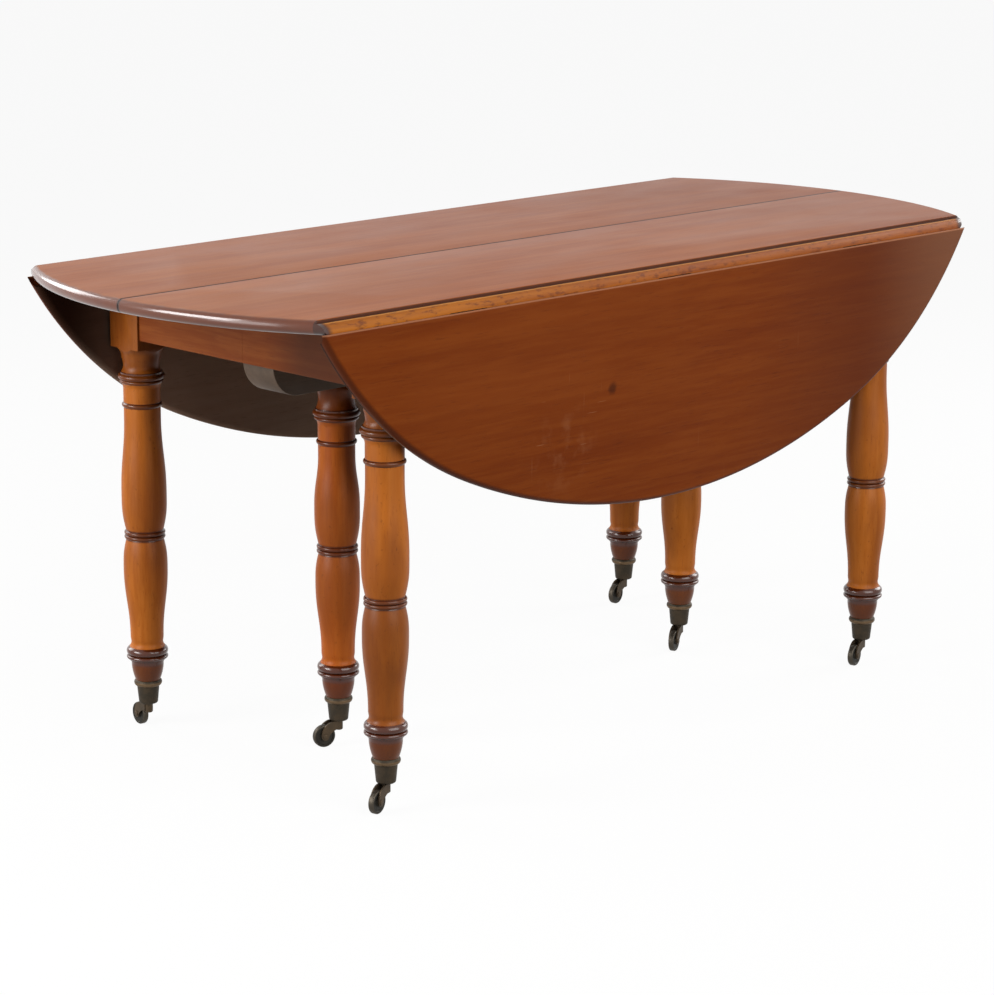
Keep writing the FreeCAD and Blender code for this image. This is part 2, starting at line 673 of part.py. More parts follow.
def castor_horn():
    """Swivelling horn: a neck with its riveted stem, two arms, and the axle in them."""
    inner = WHEEL_WIDTH / 2 + ARM_GAP
    outer = inner + ARM
    head_bottom = socket_bottom + SOCKET_FLOOR + SWIVEL_GAP
    neck = Part.makeCylinder(HORN_R, horn_top - horn_bottom, Vec(0, 0, horn_bottom), UP)
    neck = neck.fuse(box((0, -outer, horn_bottom), (HORN_R, outer, horn_top))).removeSplitter()
    foot = [e for e in neck.Edges if e.BoundBox.ZMax < horn_bottom + CUT]
    neck = neck.makeFillet(HORN_ROUND, foot)
    stem = Part.makeCylinder(STEM_R, head_bottom - horn_top, Vec(0, 0, horn_top), UP)
    head = Part.makeCylinder(STEM_HEAD_R, STEM_HEAD, Vec(0, 0, head_bottom), UP)
    root, shoulder = Vec(0, 0, horn_top), Vec(ARM_RUN, 0, horn_top)
    heel, toe = Vec(0, 0, horn_bottom + HORN_ROUND), Vec(HORN_R, 0, horn_bottom + HORN_ROUND)
    eye, eye_r = Vec(trail, 0, WHEEL_R), ALONG * ARM_EYE_R
    bow = eye + Vec(ARM_BOW_OUT, 0, ARM_BOW_UP)
    hollow = eye + Vec(-ARM_HOLLOW_IN, 0, ARM_HOLLOW_UP)
    side = [Part.makeLine(root, shoulder),
            Part.Arc(shoulder, bow, eye + eye_r).toShape(),
            Part.Arc(eye + eye_r, eye - UP * ARM_EYE_R, eye - eye_r).toShape(),
            Part.Arc(eye - eye_r, hollow, toe).toShape(),
            Part.makeLine(toe, heel),
            Part.makeLine(heel, root)]
    arms = []
    for y in (inner, -outer):
        arm = prism(side, ACROSS * ARM)
        arm.translate(ACROSS * y)
        arms.append(arm)
    axle = Part.makeCylinder(AXLE_R, 2 * outer, eye - ACROSS * outer, ACROSS)
    heads = [Part.makeCylinder(RIVET_HEAD_R, RIVET_HEAD, eye + ACROSS * y, ACROSS)
             for y in (outer, -outer - RIVET_HEAD)]
    fork = neck.fuse([stem, head] + arms).cut(axle).removeSplitter()
    return Part.makeCompound([fork, axle.fuse(heads).removeSplitter()])


def castor_wheel():
    """Solid wheel with dished sides."""
    half = WHEEL_WIDTH / 2
    wheel = Part.makeCylinder(WHEEL_R, WHEEL_WIDTH, Vec(0, 0, -half), UP)
    rims = [e for e in wheel.Edges if isinstance(e.Curve, Part.Circle)]
    wheel = wheel.makeFillet(WHEEL_ROUND, rims)
    dishes = []
    for z in (-half, half - WHEEL_DISH):
        ring = Part.makeCylinder(WHEEL_R - WHEEL_RIM, WHEEL_DISH, Vec(0, 0, z), UP)
        dishes.append(ring.cut(Part.makeCylinder(HUB_R, WHEEL_DISH, Vec(0, 0, z), UP)))
    bore = Part.makeCylinder(AXLE_R + AXLE_RUN, WHEEL_WIDTH + 2 * CUT, Vec(0, 0, -half - CUT), UP)
    wheel = wheel.cut(dishes + [bore])
    wheel.rotate(ORIGIN, ALONG, 90)
    wheel.translate(Vec(trail, 0, WHEEL_R))
    return wheel


def leg_places():
    """Axis of each leg on the floor, by the leg's name."""
    places = {f"{side}_{end}": Vec(x, y, 0)
              for side, y in (("near", -leg_y), ("far", leg_y))
              for end, x in (("left", -leg_x), ("right", leg_x))}
    places["left_centre"] = Vec(-centre_leg_x, 0, 0)
    places["right_centre"] = Vec(centre_leg_x, 0, 0)
    return places


def castor_pieces():
    """Socket, horn and wheel under each leg."""
    pieces = {}
    for leg, place in leg_places().items():
        for piece, shape in (("socket", castor_socket()), ("horn", castor_horn()),
                             ("wheel", castor_wheel())):
            shape.rotate(ORIGIN, UP, CASTOR_TURN[leg])
            shape.translate(place)
            pieces[f"{leg}_castor_{piece}"] = shape
    return pieces


def side_pieces(side):
    """Everything that rides on one half of the table, with its drop leaf."""
    leg, apron = corner_leg(), end_apron()
    ends = {"right": (leg, apron), "left": (flipped(leg), flipped(apron))}
    leaf_plates = Part.makeCompound([hung(leaf_plate(x)) for x in HINGE_SPOTS])
    far = {
        "leaf": hung(raised_leaf()),
        "hinge_top_plates": Part.makeCompound([top_plate(x) for x in HINGE_SPOTS]),
        "hinge_leaf_plates": leaf_plates,
        "hinge_pins": hinge_pins(),
        "hinge_top_screws": hinge_screws(-TOP_SCREW_OUT),
        "hinge_leaf_screws": hung(hinge_screws(LEAF_SCREW_OUT)),
        "side_apron": side_apron(),
        "lopers": lopers(),
        "loper_keepers": loper_keepers(),
    }
    for end, (end_leg, end_panel) in ends.items():
        far[f"{end}_leg"] = end_leg
        far[f"{end}_end_apron"] = end_panel
    pieces = {f"{side}_{name}": on_side(shape, side) for name, shape in far.items()}
    pieces[f"{side}_top"] = half_top(side)
    return pieces


def middle_pieces():
    """The beam, the centre legs, both sets of runners and the pegs."""
    pieces = {"centre_beam": centre_beam(), "alignment_pegs": pegs()}
    for end, x in (("left", -1), ("right", 1)):
        leg = turned_leg(capped_neck(), beam_bottom)
        leg.translate(ALONG * x * centre_leg_x)
        pieces[f"{end}_centre_leg"] = leg
        for place, name in enumerate(RUNNER_ORDER):
            pieces[f"{end}_{name}_runner"] = runner(x * RUNNER_SET_X, place, name)
    return pieces


def main():
    os.makedirs("parts", exist_ok=True)
    pieces = {**side_pieces("near"), **side_pieces("far"), **middle_pieces(), **castor_pieces()}
    for name, shape in sorted(pieces.items()):
        shape.exportStep(f"parts/{name}.step")
        print(name, "solids", len(shape.Solids), "valid", shape.isValid(), "volume", round(shape.Volume))
    print(len(pieces), "nodes")


main()
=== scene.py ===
# %% [markdown]
# # An oval extending table
#
# The table stands closed, with both leaves hanging. Its top is sawn along the middle, so that the two
# halves can slide apart on runners, and a beam on two legs of its own carries the middle.
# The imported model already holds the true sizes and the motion, so it is loaded as a fixed frame.
# What follows models the pieces that show, as the joiner, the turner and the founder made them,
# and gives every surface its finish.

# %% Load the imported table
import json
import math

import bmesh
import bpy
from mathutils import Matrix, Vector

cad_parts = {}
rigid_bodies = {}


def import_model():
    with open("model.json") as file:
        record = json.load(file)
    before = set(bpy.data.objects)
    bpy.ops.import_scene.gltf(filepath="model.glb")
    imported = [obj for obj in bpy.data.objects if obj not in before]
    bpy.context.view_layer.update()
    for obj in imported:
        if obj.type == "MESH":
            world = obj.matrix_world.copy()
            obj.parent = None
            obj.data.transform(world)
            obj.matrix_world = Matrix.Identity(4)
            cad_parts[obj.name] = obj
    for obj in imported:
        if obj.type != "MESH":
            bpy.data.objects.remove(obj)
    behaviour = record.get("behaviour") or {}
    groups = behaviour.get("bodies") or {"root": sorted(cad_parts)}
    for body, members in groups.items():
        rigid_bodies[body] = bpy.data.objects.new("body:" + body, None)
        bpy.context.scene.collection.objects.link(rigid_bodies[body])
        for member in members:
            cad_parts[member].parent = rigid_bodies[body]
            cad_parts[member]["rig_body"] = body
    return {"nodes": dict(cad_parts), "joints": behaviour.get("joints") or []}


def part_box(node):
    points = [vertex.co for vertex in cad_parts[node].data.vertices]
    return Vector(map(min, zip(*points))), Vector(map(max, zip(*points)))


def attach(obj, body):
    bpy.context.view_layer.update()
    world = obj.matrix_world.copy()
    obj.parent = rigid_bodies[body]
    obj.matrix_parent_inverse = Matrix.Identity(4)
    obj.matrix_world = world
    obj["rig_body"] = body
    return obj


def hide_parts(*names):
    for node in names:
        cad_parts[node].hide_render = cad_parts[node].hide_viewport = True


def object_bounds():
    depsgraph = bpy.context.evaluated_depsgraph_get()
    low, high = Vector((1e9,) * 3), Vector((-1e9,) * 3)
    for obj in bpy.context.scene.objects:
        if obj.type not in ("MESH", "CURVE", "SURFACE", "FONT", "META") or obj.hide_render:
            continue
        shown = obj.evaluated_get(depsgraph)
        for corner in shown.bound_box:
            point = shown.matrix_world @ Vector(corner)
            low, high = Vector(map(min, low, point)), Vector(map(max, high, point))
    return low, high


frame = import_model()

MM = 0.001
cad_low, cad_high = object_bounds()
joints = {joint["name"]: joint for joint in frame["joints"]}


def sizes(lengths):
    """Lengths in metres, rounded to be printed."""
    return [round(size, 4) for size in lengths]


print("table", sizes(cad_high - cad_low), "m in", len(frame["nodes"]), "CAD nodes")

# %% [markdown]
# ## Camera
#
# A long lens from well back keeps the table's long lines almost parallel, as they are in the photograph.
# The place and the angles were fitted to the table's corners, rings and feet. A camera could also be
# aimed with a constraint, but a few plain numbers are easier to compare with the photograph.

# %% Camera at the photograph's angle
LENS = 116.42            # millimetres on a sensor 36 wide
CAMERA_PLACE = (-3.4435, -3.4119, 1.4758)
CAMERA_YAW = 0.7877      # radians from +X towards +Y
CAMERA_DIP = 0.2348      # radians below the horizon
CAMERA_ROLL = 0.0045     # radians, its right side up

lens = bpy.data.cameras.new("photo_camera")
lens.sensor_fit = "HORIZONTAL"
lens.lens = LENS
camera = bpy.data.objects.new("photo_camera", lens)
bpy.context.scene.collection.objects.link(camera)
camera.location = CAMERA_PLACE
heading = Matrix.Rotation(CAMERA_YAW - math.pi / 2, 3, "Z")
pitch = Matrix.Rotation(math.pi / 2 - CAMERA_DIP, 3, "X")
camera.rotation_euler = (heading @ pitch @ Matrix.Rotation(CAMERA_ROLL, 3, "Z")).to_euler()
bpy.context.scene.camera = camera
bpy.context.scene.view_settings.view_transform = "Standard"
print("camera", round(math.dist(CAMERA_PLACE, (0, 0, cad_high.z / 2)), 2), "m from the table")

# %% [markdown]
# ## Shader arithmetic
#
# A finish is a sum of patterns: grain, pores, wear, stain. Wiring each sum by hand takes many lines, so
# one small class lets a node's output take part in ordinary Python arithmetic, and one method
# adds every other node. A finish then reads like the sentence that describes it.

# %% Signals and the desk that wires them
class Signal:
    """One output of a shader node, which takes part in Python arithmetic."""

    def __init__(self, desk, node, output):
        self.desk, self.node, self.socket = desk, node, node.outputs[output]

    def part(self, output):
        """Another output of the same node."""
        return Signal(self.desk, self.node, output)

    def maths(self, operation, *values):
        return self.desk.node("ShaderNodeMath", {"operation": operation}, dict(enumerate(values)))

    def __add__(self, other):
        return self.maths("ADD", self, other)

    def __sub__(self, other):
        return self.maths("SUBTRACT", self, other)

    def __rsub__(self, other):
        return self.maths("SUBTRACT", other, self)

    def __mul__(self, other):
        return self.maths("MULTIPLY", self, other)

    def __pow__(self, other):
        return self.maths("POWER", self, other)

    def __abs__(self):
        return self.maths("ABSOLUTE", self)

    __radd__ = __add__
    __rmul__ = __mul__


class Desk:
    """A node tree, and the one method that adds nodes to it."""

    def __init__(self, tree):
        self.tree = tree
        tree.nodes.clear()

    def node(self, kind, settings=None, sockets=None, output=0):
        """Adds a node, sets it up, then fills its sockets with values or links."""
        node = self.tree.nodes.new(kind)
        for name, value in (settings or {}).items():
            setattr(node, name, value)
        for name, value in (sockets or {}).items():
            if isinstance(value, Signal):
                self.tree.links.new(value.socket, node.inputs[name])
            else:
                node.inputs[name].default_value = value
        return Signal(self, node, output) if node.outputs else None

    def blend(self, share, first, second):
        """A colour between two colours."""
        return self.node("ShaderNodeMix", {"data_type": "RGBA"}, {0: share, 6: first, 7: second}, 2)

    def rise(self, value, low, high):
        """A smooth step from 0 to 1 while a value goes from low to high."""
        return self.node("ShaderNodeMapRange", {"interpolation_type": "SMOOTHSTEP"},
                         {"Value": value, "From Min": low, "From Max": high})


def paint(red, green, blue):
    """A colour as a screen shows it, 0 to 255, in the linear values that shaders take."""
    return tuple((part / 255) ** 2.2 for part in (red, green, blue)) + (1.0,)


print("a mid grey is", [round(part, 3) for part in paint(128, 128, 128)])

# %% [markdown]
# ## Floor, world and lamps
#
# The table stands in a white studio. If lamps alone made the floor white, they would burn out the top, so
# the floor shows rays from the camera mostly its own white, and only a small part of its real shading.
# That small part is the soft shadow under the legs. Rays that a glossy surface sends out see the same
# white. The lamps are broad, so that the polished top mirrors no hard patch of light, and they stay at
# a level where a colour looks as it is written.

# %% White floor and world
FLOOR_SIZE = 60.0
OWN_WHITE = 0.94         # the part of the floor's look that no shadow reaches
FLOOR_PAINT = paint(225, 225, 223)
FLOOR_BOUNCE = paint(98, 95, 92)             # what the floor sends back up to the table
WORLD_STRENGTH = 0.06
WORLD_PAINT = paint(244, 240, 236)
WHITE = paint(255, 255, 255)


def primitive(add, name, **settings):
    """Adds a primitive while nothing else is selected."""
    bpy.ops.object.select_all(action="DESELECT")
    add(**settings)
    bpy.context.object.name = name
    return bpy.context.object


def seen_as_background(desk):
    """1 for rays that show the background: those of the camera, of gloss and of glass."""
    path = desk.node("ShaderNodeLightPath", output="Is Camera Ray")
    rays = path + path.part("Is Glossy Ray") + path.part("Is Transmission Ray")
    return rays.maths("MINIMUM", rays, 1)


floor = primitive(bpy.ops.mesh.primitive_plane_add, "floor", size=FLOOR_SIZE)
floor_paint = bpy.data.materials.new("floor_white")
floor_paint.use_nodes = True
desk = Desk(floor_paint.node_tree)
seen = seen_as_background(desk)
matt = desk.node("ShaderNodeBsdfDiffuse", {}, {"Color": desk.blend(seen, FLOOR_BOUNCE, FLOOR_PAINT)})
white = desk.node("ShaderNodeEmission", {}, {"Color": WHITE, "Strength": 1.0})
shown = desk.node("ShaderNodeMixShader", {}, {0: seen * OWN_WHITE, 1: matt, 2: white})
desk.node("ShaderNodeOutputMaterial", {}, {"Surface": shown})
floor.data.materials.append(floor_paint)

world = bpy.data.worlds.new("studio")
bpy.context.scene.world = world
world.use_nodes = True
desk = Desk(world.node_tree)
lit = desk.node("ShaderNodeBackground", {}, {"Color": WORLD_PAINT, "Strength": WORLD_STRENGTH})
backdrop = desk.node("ShaderNodeBackground", {}, {"Color": WHITE, "Strength": 1.0})
sky = desk.node("ShaderNodeMixShader", {}, {0: seen_as_background(desk), 1: lit, 2: backdrop})
desk.node("ShaderNodeOutputWorld", {}, {"Surface": sky})
print("floor", FLOOR_SIZE, "m, world", WORLD_STRENGTH)

# %% Soft lamps
LAMP_AIM = (0.0, 0.0, 0.5)
LAMPS = {                # place, size across, watts
    "window_left": ((-3.0, 0.9, 1.4), 1.3, 88.0),
    "low_left": ((-3.2, 0.1, 0.7), 1.0, 15.0),
    "front": ((-0.2, -3.2, 2.0), 3.0, 134.0),
    "far_right": ((3.2, -0.5, 1.7), 1.6, 60.0),
    "far_side": ((-1.0, 3.2, 1.7), 1.6, 50.0),
}
for name, (place, size, watts) in LAMPS.items():
    lamp = primitive(bpy.ops.object.light_add, name, type="AREA", location=place)
    lamp.data.size = size
    lamp.data.energy = watts
    lamp.rotation_euler = (Vector(LAMP_AIM) - Vector(place)).to_track_quat("-Z", "Y").to_euler()
print("lamps", sorted(LAMPS))

# %% [markdown]
# ## The table's main sizes
#
# The frame gives the sizes that everything else hangs on: the oval's half axes, the rule joint's pin,
# the legs' axes. Reading them from the frame, instead of typing them again, keeps the dressed
# pieces on the model even when that model changes.

# %% Sizes from the frame
TOP_Z = cad_high.z
UNDER_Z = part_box("far_top")[0].z
RULE_Y, PIN_Z = joints["far_leaf_hinge"]["pos_m"][1:]
HALF_LENGTH = cad_high.x
HALF_WIDTH = RULE_Y + PIN_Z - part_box("far_leaf")[0].z
RULE_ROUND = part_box("far_top")[1].y - RULE_Y
SPLIT_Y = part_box("far_top")[0].y
JOIN_ANGLE = math.radians(66.16)     # how far the oval's end arcs turn before its side arcs take over
side_bulge = (1 - math.sin(JOIN_ANGLE)) / math.cos(JOIN_ANGLE)
END_R = (HALF_WIDTH - HALF_LENGTH * side_bulge) / (1 - side_bulge)
END_X = HALF_LENGTH - END_R
SIDE_DROP = END_X * math.tan(JOIN_ANGLE)
SIDE_R = HALF_WIDTH + SIDE_DROP
LEGS = ("near_left", "near_right", "far_left", "far_right", "left_centre", "right_centre")
LEG_AXIS = {leg: Vector(joints[f"{leg}_swivel"]["pos_m"]).to_2d() for leg in LEGS}
print("oval", round(2 * HALF_LENGTH, 3), "x", round(2 * HALF_WIDTH, 3), "m, end radius", round(END_R, 3))

# %% [markdown]
# ## Wood
#
# Mahogany shows three scales at once: broad bands along the board, fine fibres, and short dark
# pores. Each is a noise pattern drawn out along the grain. A picture of wood would be quicker, but it would
# not follow a board's own direction, and it would repeat. The same grain serves every board and leg,
# and only the colours and the direction change.

# %% Finishes that read the piece's own coordinates
class Finish(Desk):
    """A material with one surface shader, whose patterns read the piece's own coordinates."""

    def __init__(self, name):
        self.material = bpy.data.materials.new(name)
        self.material.use_nodes = True
        super().__init__(self.material.node_tree)
        self.point = self.node("ShaderNodeTexCoord", output="Object")
        axes = self.node("ShaderNodeSeparateXYZ", {}, {"Vector": self.point})
        self.x, self.y, self.z = axes, axes.part("Y"), axes.part("Z")

    def noise(self, scale, stretch=(1, 1, 1), detail=3.0, rough=0.5, warp=0.0, turn=(0, 0, 0)):
        """Soft spots, as many to the metre as the scale says, drawn out by the stretch."""
        spread = self.node("ShaderNodeMapping", {}, {"Vector": self.point, "Scale": stretch,
                                                     "Rotation": turn})
        return self.node("ShaderNodeTexNoise", {}, {"Vector": spread, "Scale": scale, "Detail": detail,
                                                    "Roughness": rough, "Distortion": warp})

    def attribute(self, name):
        """A value that the piece's mesh carries at each vertex."""
        return self.node("ShaderNodeAttribute", {"attribute_name": name}, output="Fac")

    def bump(self, height, depth):
        """Small relief, in metres of depth."""
        return self.node("ShaderNodeBump", {}, {"Height": height, "Distance": depth, "Strength": 1.0})

    def surface(self, sockets):
        """Closes the finish with its shader."""
        shader = self.node("ShaderNodeBsdfPrincipled", {}, sockets)
        self.node("ShaderNodeOutputMaterial", {}, {"Surface": shader})
        return self.material


FINISHES = {}


def keep(name, material):
    """Keeps a finish under the name by which pieces ask for it."""
    FINISHES[name] = material
    print("finish", name, "with", len(material.node_tree.nodes), "nodes")


print("finish tools ready")

# %% Grain
GRAIN_RUN = 16.0         # how much longer than wide the grain's marks are
BANDS, FIBRES, PORES = 11.0, 120.0, 620.0    # marks to the metre, across the grain
FIBRE_SHARE, PORE_SHARE = 0.4, 0.35          # how strongly they colour the wood
FIBRE_RELIEF = 0.5       # height of the fibres, where the pores' depth is 1
GRAIN_DEPTH = 0.05 * MM  # relief of the grain under polish


class Grain:
    """The three scales of grain along one axis, each as a signal from 0 to 1."""

    def __init__(self, finish, axis):
        stretch = [1.0, 1.0, 1.0]
        stretch["XYZ".index(axis)] = 1 / GRAIN_RUN
        self.finish = finish
        self.band = finish.rise(finish.noise(BANDS, stretch, 4.0, 0.55, 1.2), 0.34, 0.66)
        self.fibre = finish.rise(finish.noise(FIBRES, stretch, 5.0, 0.62), 0.36, 0.68)
        self.pore = finish.rise(finish.noise(PORES, stretch, 2.0), 0.60, 0.72)

    def colour(self, deep, mid, pale, pore):
        """The wood's colour: bands between two tones, paler fibres, dark pores."""
        body = self.finish.blend(self.band, paint(*deep), paint(*mid))
        body = self.finish.blend(self.fibre * FIBRE_SHARE, body, paint(*pale))
        return self.finish.blend(self.pore * PORE_SHARE, body, paint(*pore))

    def relief(self):
        return self.fibre * FIBRE_RELIEF - self.pore


print("grain marks", GRAIN_RUN, "times as long as wide")

# %% [markdown]
# ### Top and leaves
#
# The two halves of the top are polished, and pale from years of wiping. Where the oval's edge
# rounds over, stain has gathered and the wood is nearly black. The quarter round under the leaf's lip
# is bare and golden where the leaf has rubbed it. All of these follow the board's shape, so they are
# written as distances: from the oval's arcs, from the rule joint, from the split.

# %% Distances on the boards
EDGE_ROUND = 8.5 * MM    # rounding of the oval's edge, above and below
RULE_FILLET = TOP_Z - PIN_Z - RULE_ROUND


def length(first, second):
    """Distance from two signals at right angles."""
    return (first * first + second * second) ** 0.5


def rim_distance(finish, reach):
    """How far inside the oval's edge a point lies, at a distance from the long axis."""
    across = abs(finish.x) - END_X
    to_end = END_R - length(across, reach)
    to_side = SIDE_R - length(finish.x, reach + SIDE_DROP)
    past_join = across * math.sin(JOIN_ANGLE) - reach * math.cos(JOIN_ANGLE)
    at_end = finish.rise(past_join, -MM, MM)
    return to_side + at_end * (to_end - to_side)


print("fillet over the quarter round", round(RULE_FILLET / MM, 2), "mm")

# %% Golden strip of the quarter round
GOLD_LEFT, GOLD_RIGHT, GOLD_LINE = paint(160, 92, 16), paint(138, 73, 10), paint(214, 150, 80)
GOLD_SPOT, GOLD_FIBRE = paint(84, 38, 12), paint(104, 46, 16)
GOLD_FADE = -0.55, 0.1   # where along the table the strip turns browner
LINE_AT, LINE_BAND = RULE_Y + 5.5 * MM, (1.4 * MM, 0.5 * MM)


def golden(finish, grain, reach):
    """The worn wood of the strip: spots of old polish, fibres, and a pale line along its crest."""
    worn = finish.blend(finish.rise(finish.x, *GOLD_FADE), GOLD_LEFT, GOLD_RIGHT)
    spots = finish.rise(finish.noise(150, (0.35, 1, 1), 5.0, 0.6), 0.50, 0.68)
    worn = finish.blend(spots * 0.75, worn, GOLD_SPOT)
    worn = finish.blend(grain.fibre * 0.4, worn, GOLD_FIBRE)
    line = finish.rise(abs(reach - LINE_AT), *LINE_BAND)
    return finish.blend(line * 0.5, worn, GOLD_LINE)


print("pale line", round((LINE_AT - RULE_Y) / MM, 1), "mm past the rule joint")

# %% Polished top
TOP_TONES = (134, 66, 23), (150, 79, 30), (162, 94, 44), (103, 50, 19)    # deep, mid, pale, pores
UNDER_TONES = (70, 48, 32), (84, 60, 42), (98, 72, 52), (52, 34, 22)
# The second colour is painted shade, which darkens the top towards its right end.
TOP_FADED, TOP_RIGHT_SHADE = paint(164, 103, 57), paint(108, 52, 20)
EDGE_STAIN, SPLIT_DIRT, FILLET_STAIN = paint(72, 32, 18), paint(40, 22, 16), paint(60, 30, 16)
# Each band is the distance where a mark begins and the one where it is full.
RIM_BAND, RIM_WANDER = (11 * MM, 5 * MM), 4 * MM
SPLIT_BAND = 4.0 * MM, 1.6 * MM
RULE_BAND = RULE_Y - 0.4 * MM, RULE_Y + 0.1 * MM
FILLET_BAND = TOP_Z - 0.4 * MM, TOP_Z - 1.2 * MM
ROUND_BAND, ROUND_ENDS = (RULE_Y + 3.4 * MM, RULE_Y + 5.0 * MM), (4 * MM, 14 * MM)
UNDER_BAND = UNDER_Z + 1.2 * MM, UNDER_Z + 0.4 * MM
TOP_SHADE_BAND = 0.15, 0.65      # along the table, where the painted shade on the top's right end begins and where it is full
EDGE_SHARE = 0.85


def top_finish():
    finish = Finish("polished_top")
    grain = Grain(finish, "X")
    face = grain.colour(*TOP_TONES)
    faded = finish.rise(finish.noise(2.2, (0.5, 1, 1), 3.0), 0.35, 0.7)
    face = finish.blend(faded * 0.25, face, TOP_FADED)
    # Painted shade: the top grows darker towards its right end.
    face = finish.blend(finish.rise(finish.x, *TOP_SHADE_BAND) * 0.35, face, TOP_RIGHT_SHADE)
    reach = abs(finish.y)
    rim = rim_distance(finish, reach)
    edge = finish.rise(rim + finish.noise(40, detail=4.0) * RIM_WANDER, *RIM_BAND)
    face = finish.blend(edge * EDGE_SHARE, face, EDGE_STAIN)
    face = finish.blend(finish.rise(reach, *SPLIT_BAND) * 0.9, face, SPLIT_DIRT)
    fillet = finish.rise(reach, *RULE_BAND) * finish.rise(finish.z, *FILLET_BAND)
    face = finish.blend(fillet, face, FILLET_STAIN)
    on_round = finish.rise(reach, *ROUND_BAND) * finish.rise(rim, *ROUND_ENDS)
    face = finish.blend(on_round, face, golden(finish, grain, reach))
    under = finish.rise(finish.z, *UNDER_BAND)
    face = finish.blend(under, face, grain.colour(*UNDER_TONES))
    smudge = finish.noise(14, (0.5, 1, 1), 4.0)
    gloss = 0.34 + smudge * 0.16 + under * 0.3 + on_round * 0.12 - edge * 0.12
    return finish.surface({"Base Color": face, "Roughness": gloss, "Specular IOR Level": 0.20,
                           "Coat Weight": edge * EDGE_SHARE, "Coat Roughness": 0.14,
                           "Normal": finish.bump(grain.relief(), GRAIN_DEPTH)})


keep("top_wood", top_finish())

# %% Leaf
LEAF_TONES = (101, 45, 13), (112, 53, 17), (124, 64, 25), (80, 36, 12)    # deep, mid, pale, pores
# The inner faces' bare wood, painted paler than it is: painted light where little light reaches.
INNER_LIT_TONES = (158, 131, 114), (168, 141, 122), (176, 150, 132), (124, 98, 84)
# The second colour is painted shade on the leaves' right end, and the third is a painted sheen there.
LEAF_FADED, LEAF_RIGHT_SHADE, LEAF_SHEEN = paint(124, 64, 30), paint(70, 30, 13), paint(140, 100, 76)
KNOT_STAIN, SCRATCHED, SMEARED = paint(44, 20, 8), paint(178, 128, 92), paint(168, 116, 82)
# The third colour is painted shade at both ends of the leaves' inner faces.
LEAF_EDGE, LIP_WEAR, INNER_END_SHADE = paint(72, 38, 26), paint(160, 108, 80), paint(46, 28, 19)
LEAF_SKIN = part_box("far_leaf")[1].y
LEAF_RIM_BAND = 8 * MM, 3 * MM
LIP_BAND = PIN_Z - 3.0 * MM, PIN_Z - 1.4 * MM
INNER_BAND = LEAF_SKIN - 8 * MM, LEAF_SKIN - 12 * MM
LEAF_SHADE_BAND, SHEEN_BAND, INNER_SHADE_ENDS = (0.1, 0.5), (0.42, 0.68), (0.42, 0.64)   # along the table: painted shade on the right end, painted sheen there, painted shade at the inner faces' ends
KNOT, KNOT_BAND, KNOT_WANDER = (-0.134, 0.556), (18 * MM, 8 * MM), 12 * MM
SCUFF, SCRATCH_BAND, SMEAR_BAND = (-0.235, 0.482), (150 * MM, 40 * MM), (85 * MM, 15 * MM)


def spot(finish, place, band, ragged=0.0):
    """A spot on the near leaf's face, at a place along the table and up, with a soft border."""
    away = length(finish.x - place[0], finish.z - place[1])
    return finish.rise(away + ragged, *band) * finish.rise(finish.y, 0.0, -RULE_Y)


def leaf_finish():
    finish = Finish("worn_leaf")
    grain = Grain(finish, "X")
    face = grain.colour(*LEAF_TONES)
    faded = finish.rise(finish.noise(3.1, (0.6, 1, 1), 3.0), 0.42, 0.72)
    face = finish.blend(faded * 0.25, face, LEAF_FADED)
    # Painted shade: the leaf grows darker towards its right end.
    face = finish.blend(finish.rise(finish.x, *LEAF_SHADE_BAND) * 0.55, face, LEAF_RIGHT_SHADE)
    # Painted sheen: a pale haze over the leaf's right end.
    face = finish.blend(finish.rise(finish.x, *SHEEN_BAND) * 0.4, face, LEAF_SHEEN)
    knot = spot(finish, KNOT, KNOT_BAND, finish.noise(60, detail=4.0) * KNOT_WANDER)
    face = finish.blend(knot * 0.65, face, KNOT_STAIN)
    scratch = finish.rise(finish.noise(260, (0.05, 1, 1), 2.0, turn=(0, 0.5, 0)), 0.70, 0.76)
    scratch = scratch + finish.rise(finish.noise(210, (1, 1, 0.05), 2.0, turn=(0, 0.35, 0)), 0.71, 0.77)
    patch = finish.rise(finish.noise(7, detail=2.0), 0.5, 0.68) * 0.3
    patch = patch + spot(finish, SCUFF, SCRATCH_BAND)
    face = finish.blend(scratch * patch * 0.22, face, SCRATCHED)
    smear = finish.rise(finish.noise(34, detail=4.0), 0.46, 0.70) * spot(finish, SCUFF, SMEAR_BAND)
    face = finish.blend(smear * 0.15, face, SMEARED)
    rim = rim_distance(finish, RULE_Y + PIN_Z - finish.z)
    face = finish.blend(finish.rise(rim, *LEAF_RIM_BAND) * 0.7, face, LEAF_EDGE)
    face = finish.blend(finish.rise(finish.z, *LIP_BAND) * 0.8, face, LIP_WEAR)
    # The inner face: bare wood painted paler as painted light, with painted shade towards both ends.
    inner = finish.rise(abs(finish.y), *INNER_BAND)
    bare_with_painted_light = grain.colour(*INNER_LIT_TONES)
    bare_with_painted_light = finish.blend(finish.rise(abs(finish.x), *INNER_SHADE_ENDS), bare_with_painted_light, INNER_END_SHADE)
    face = finish.blend(inner, face, bare_with_painted_light)
    gloss = 0.36 + finish.noise(18, (0.5, 1, 1), 4.0) * 0.2 + inner * 0.25
    relief = grain.relief() - scratch * patch
    return finish.surface({"Base Color": face, "Roughness": gloss, "Specular IOR Level": 0.06,
                           "Normal": finish.bump(relief, GRAIN_DEPTH)})


keep("leaf_wood", leaf_finish())

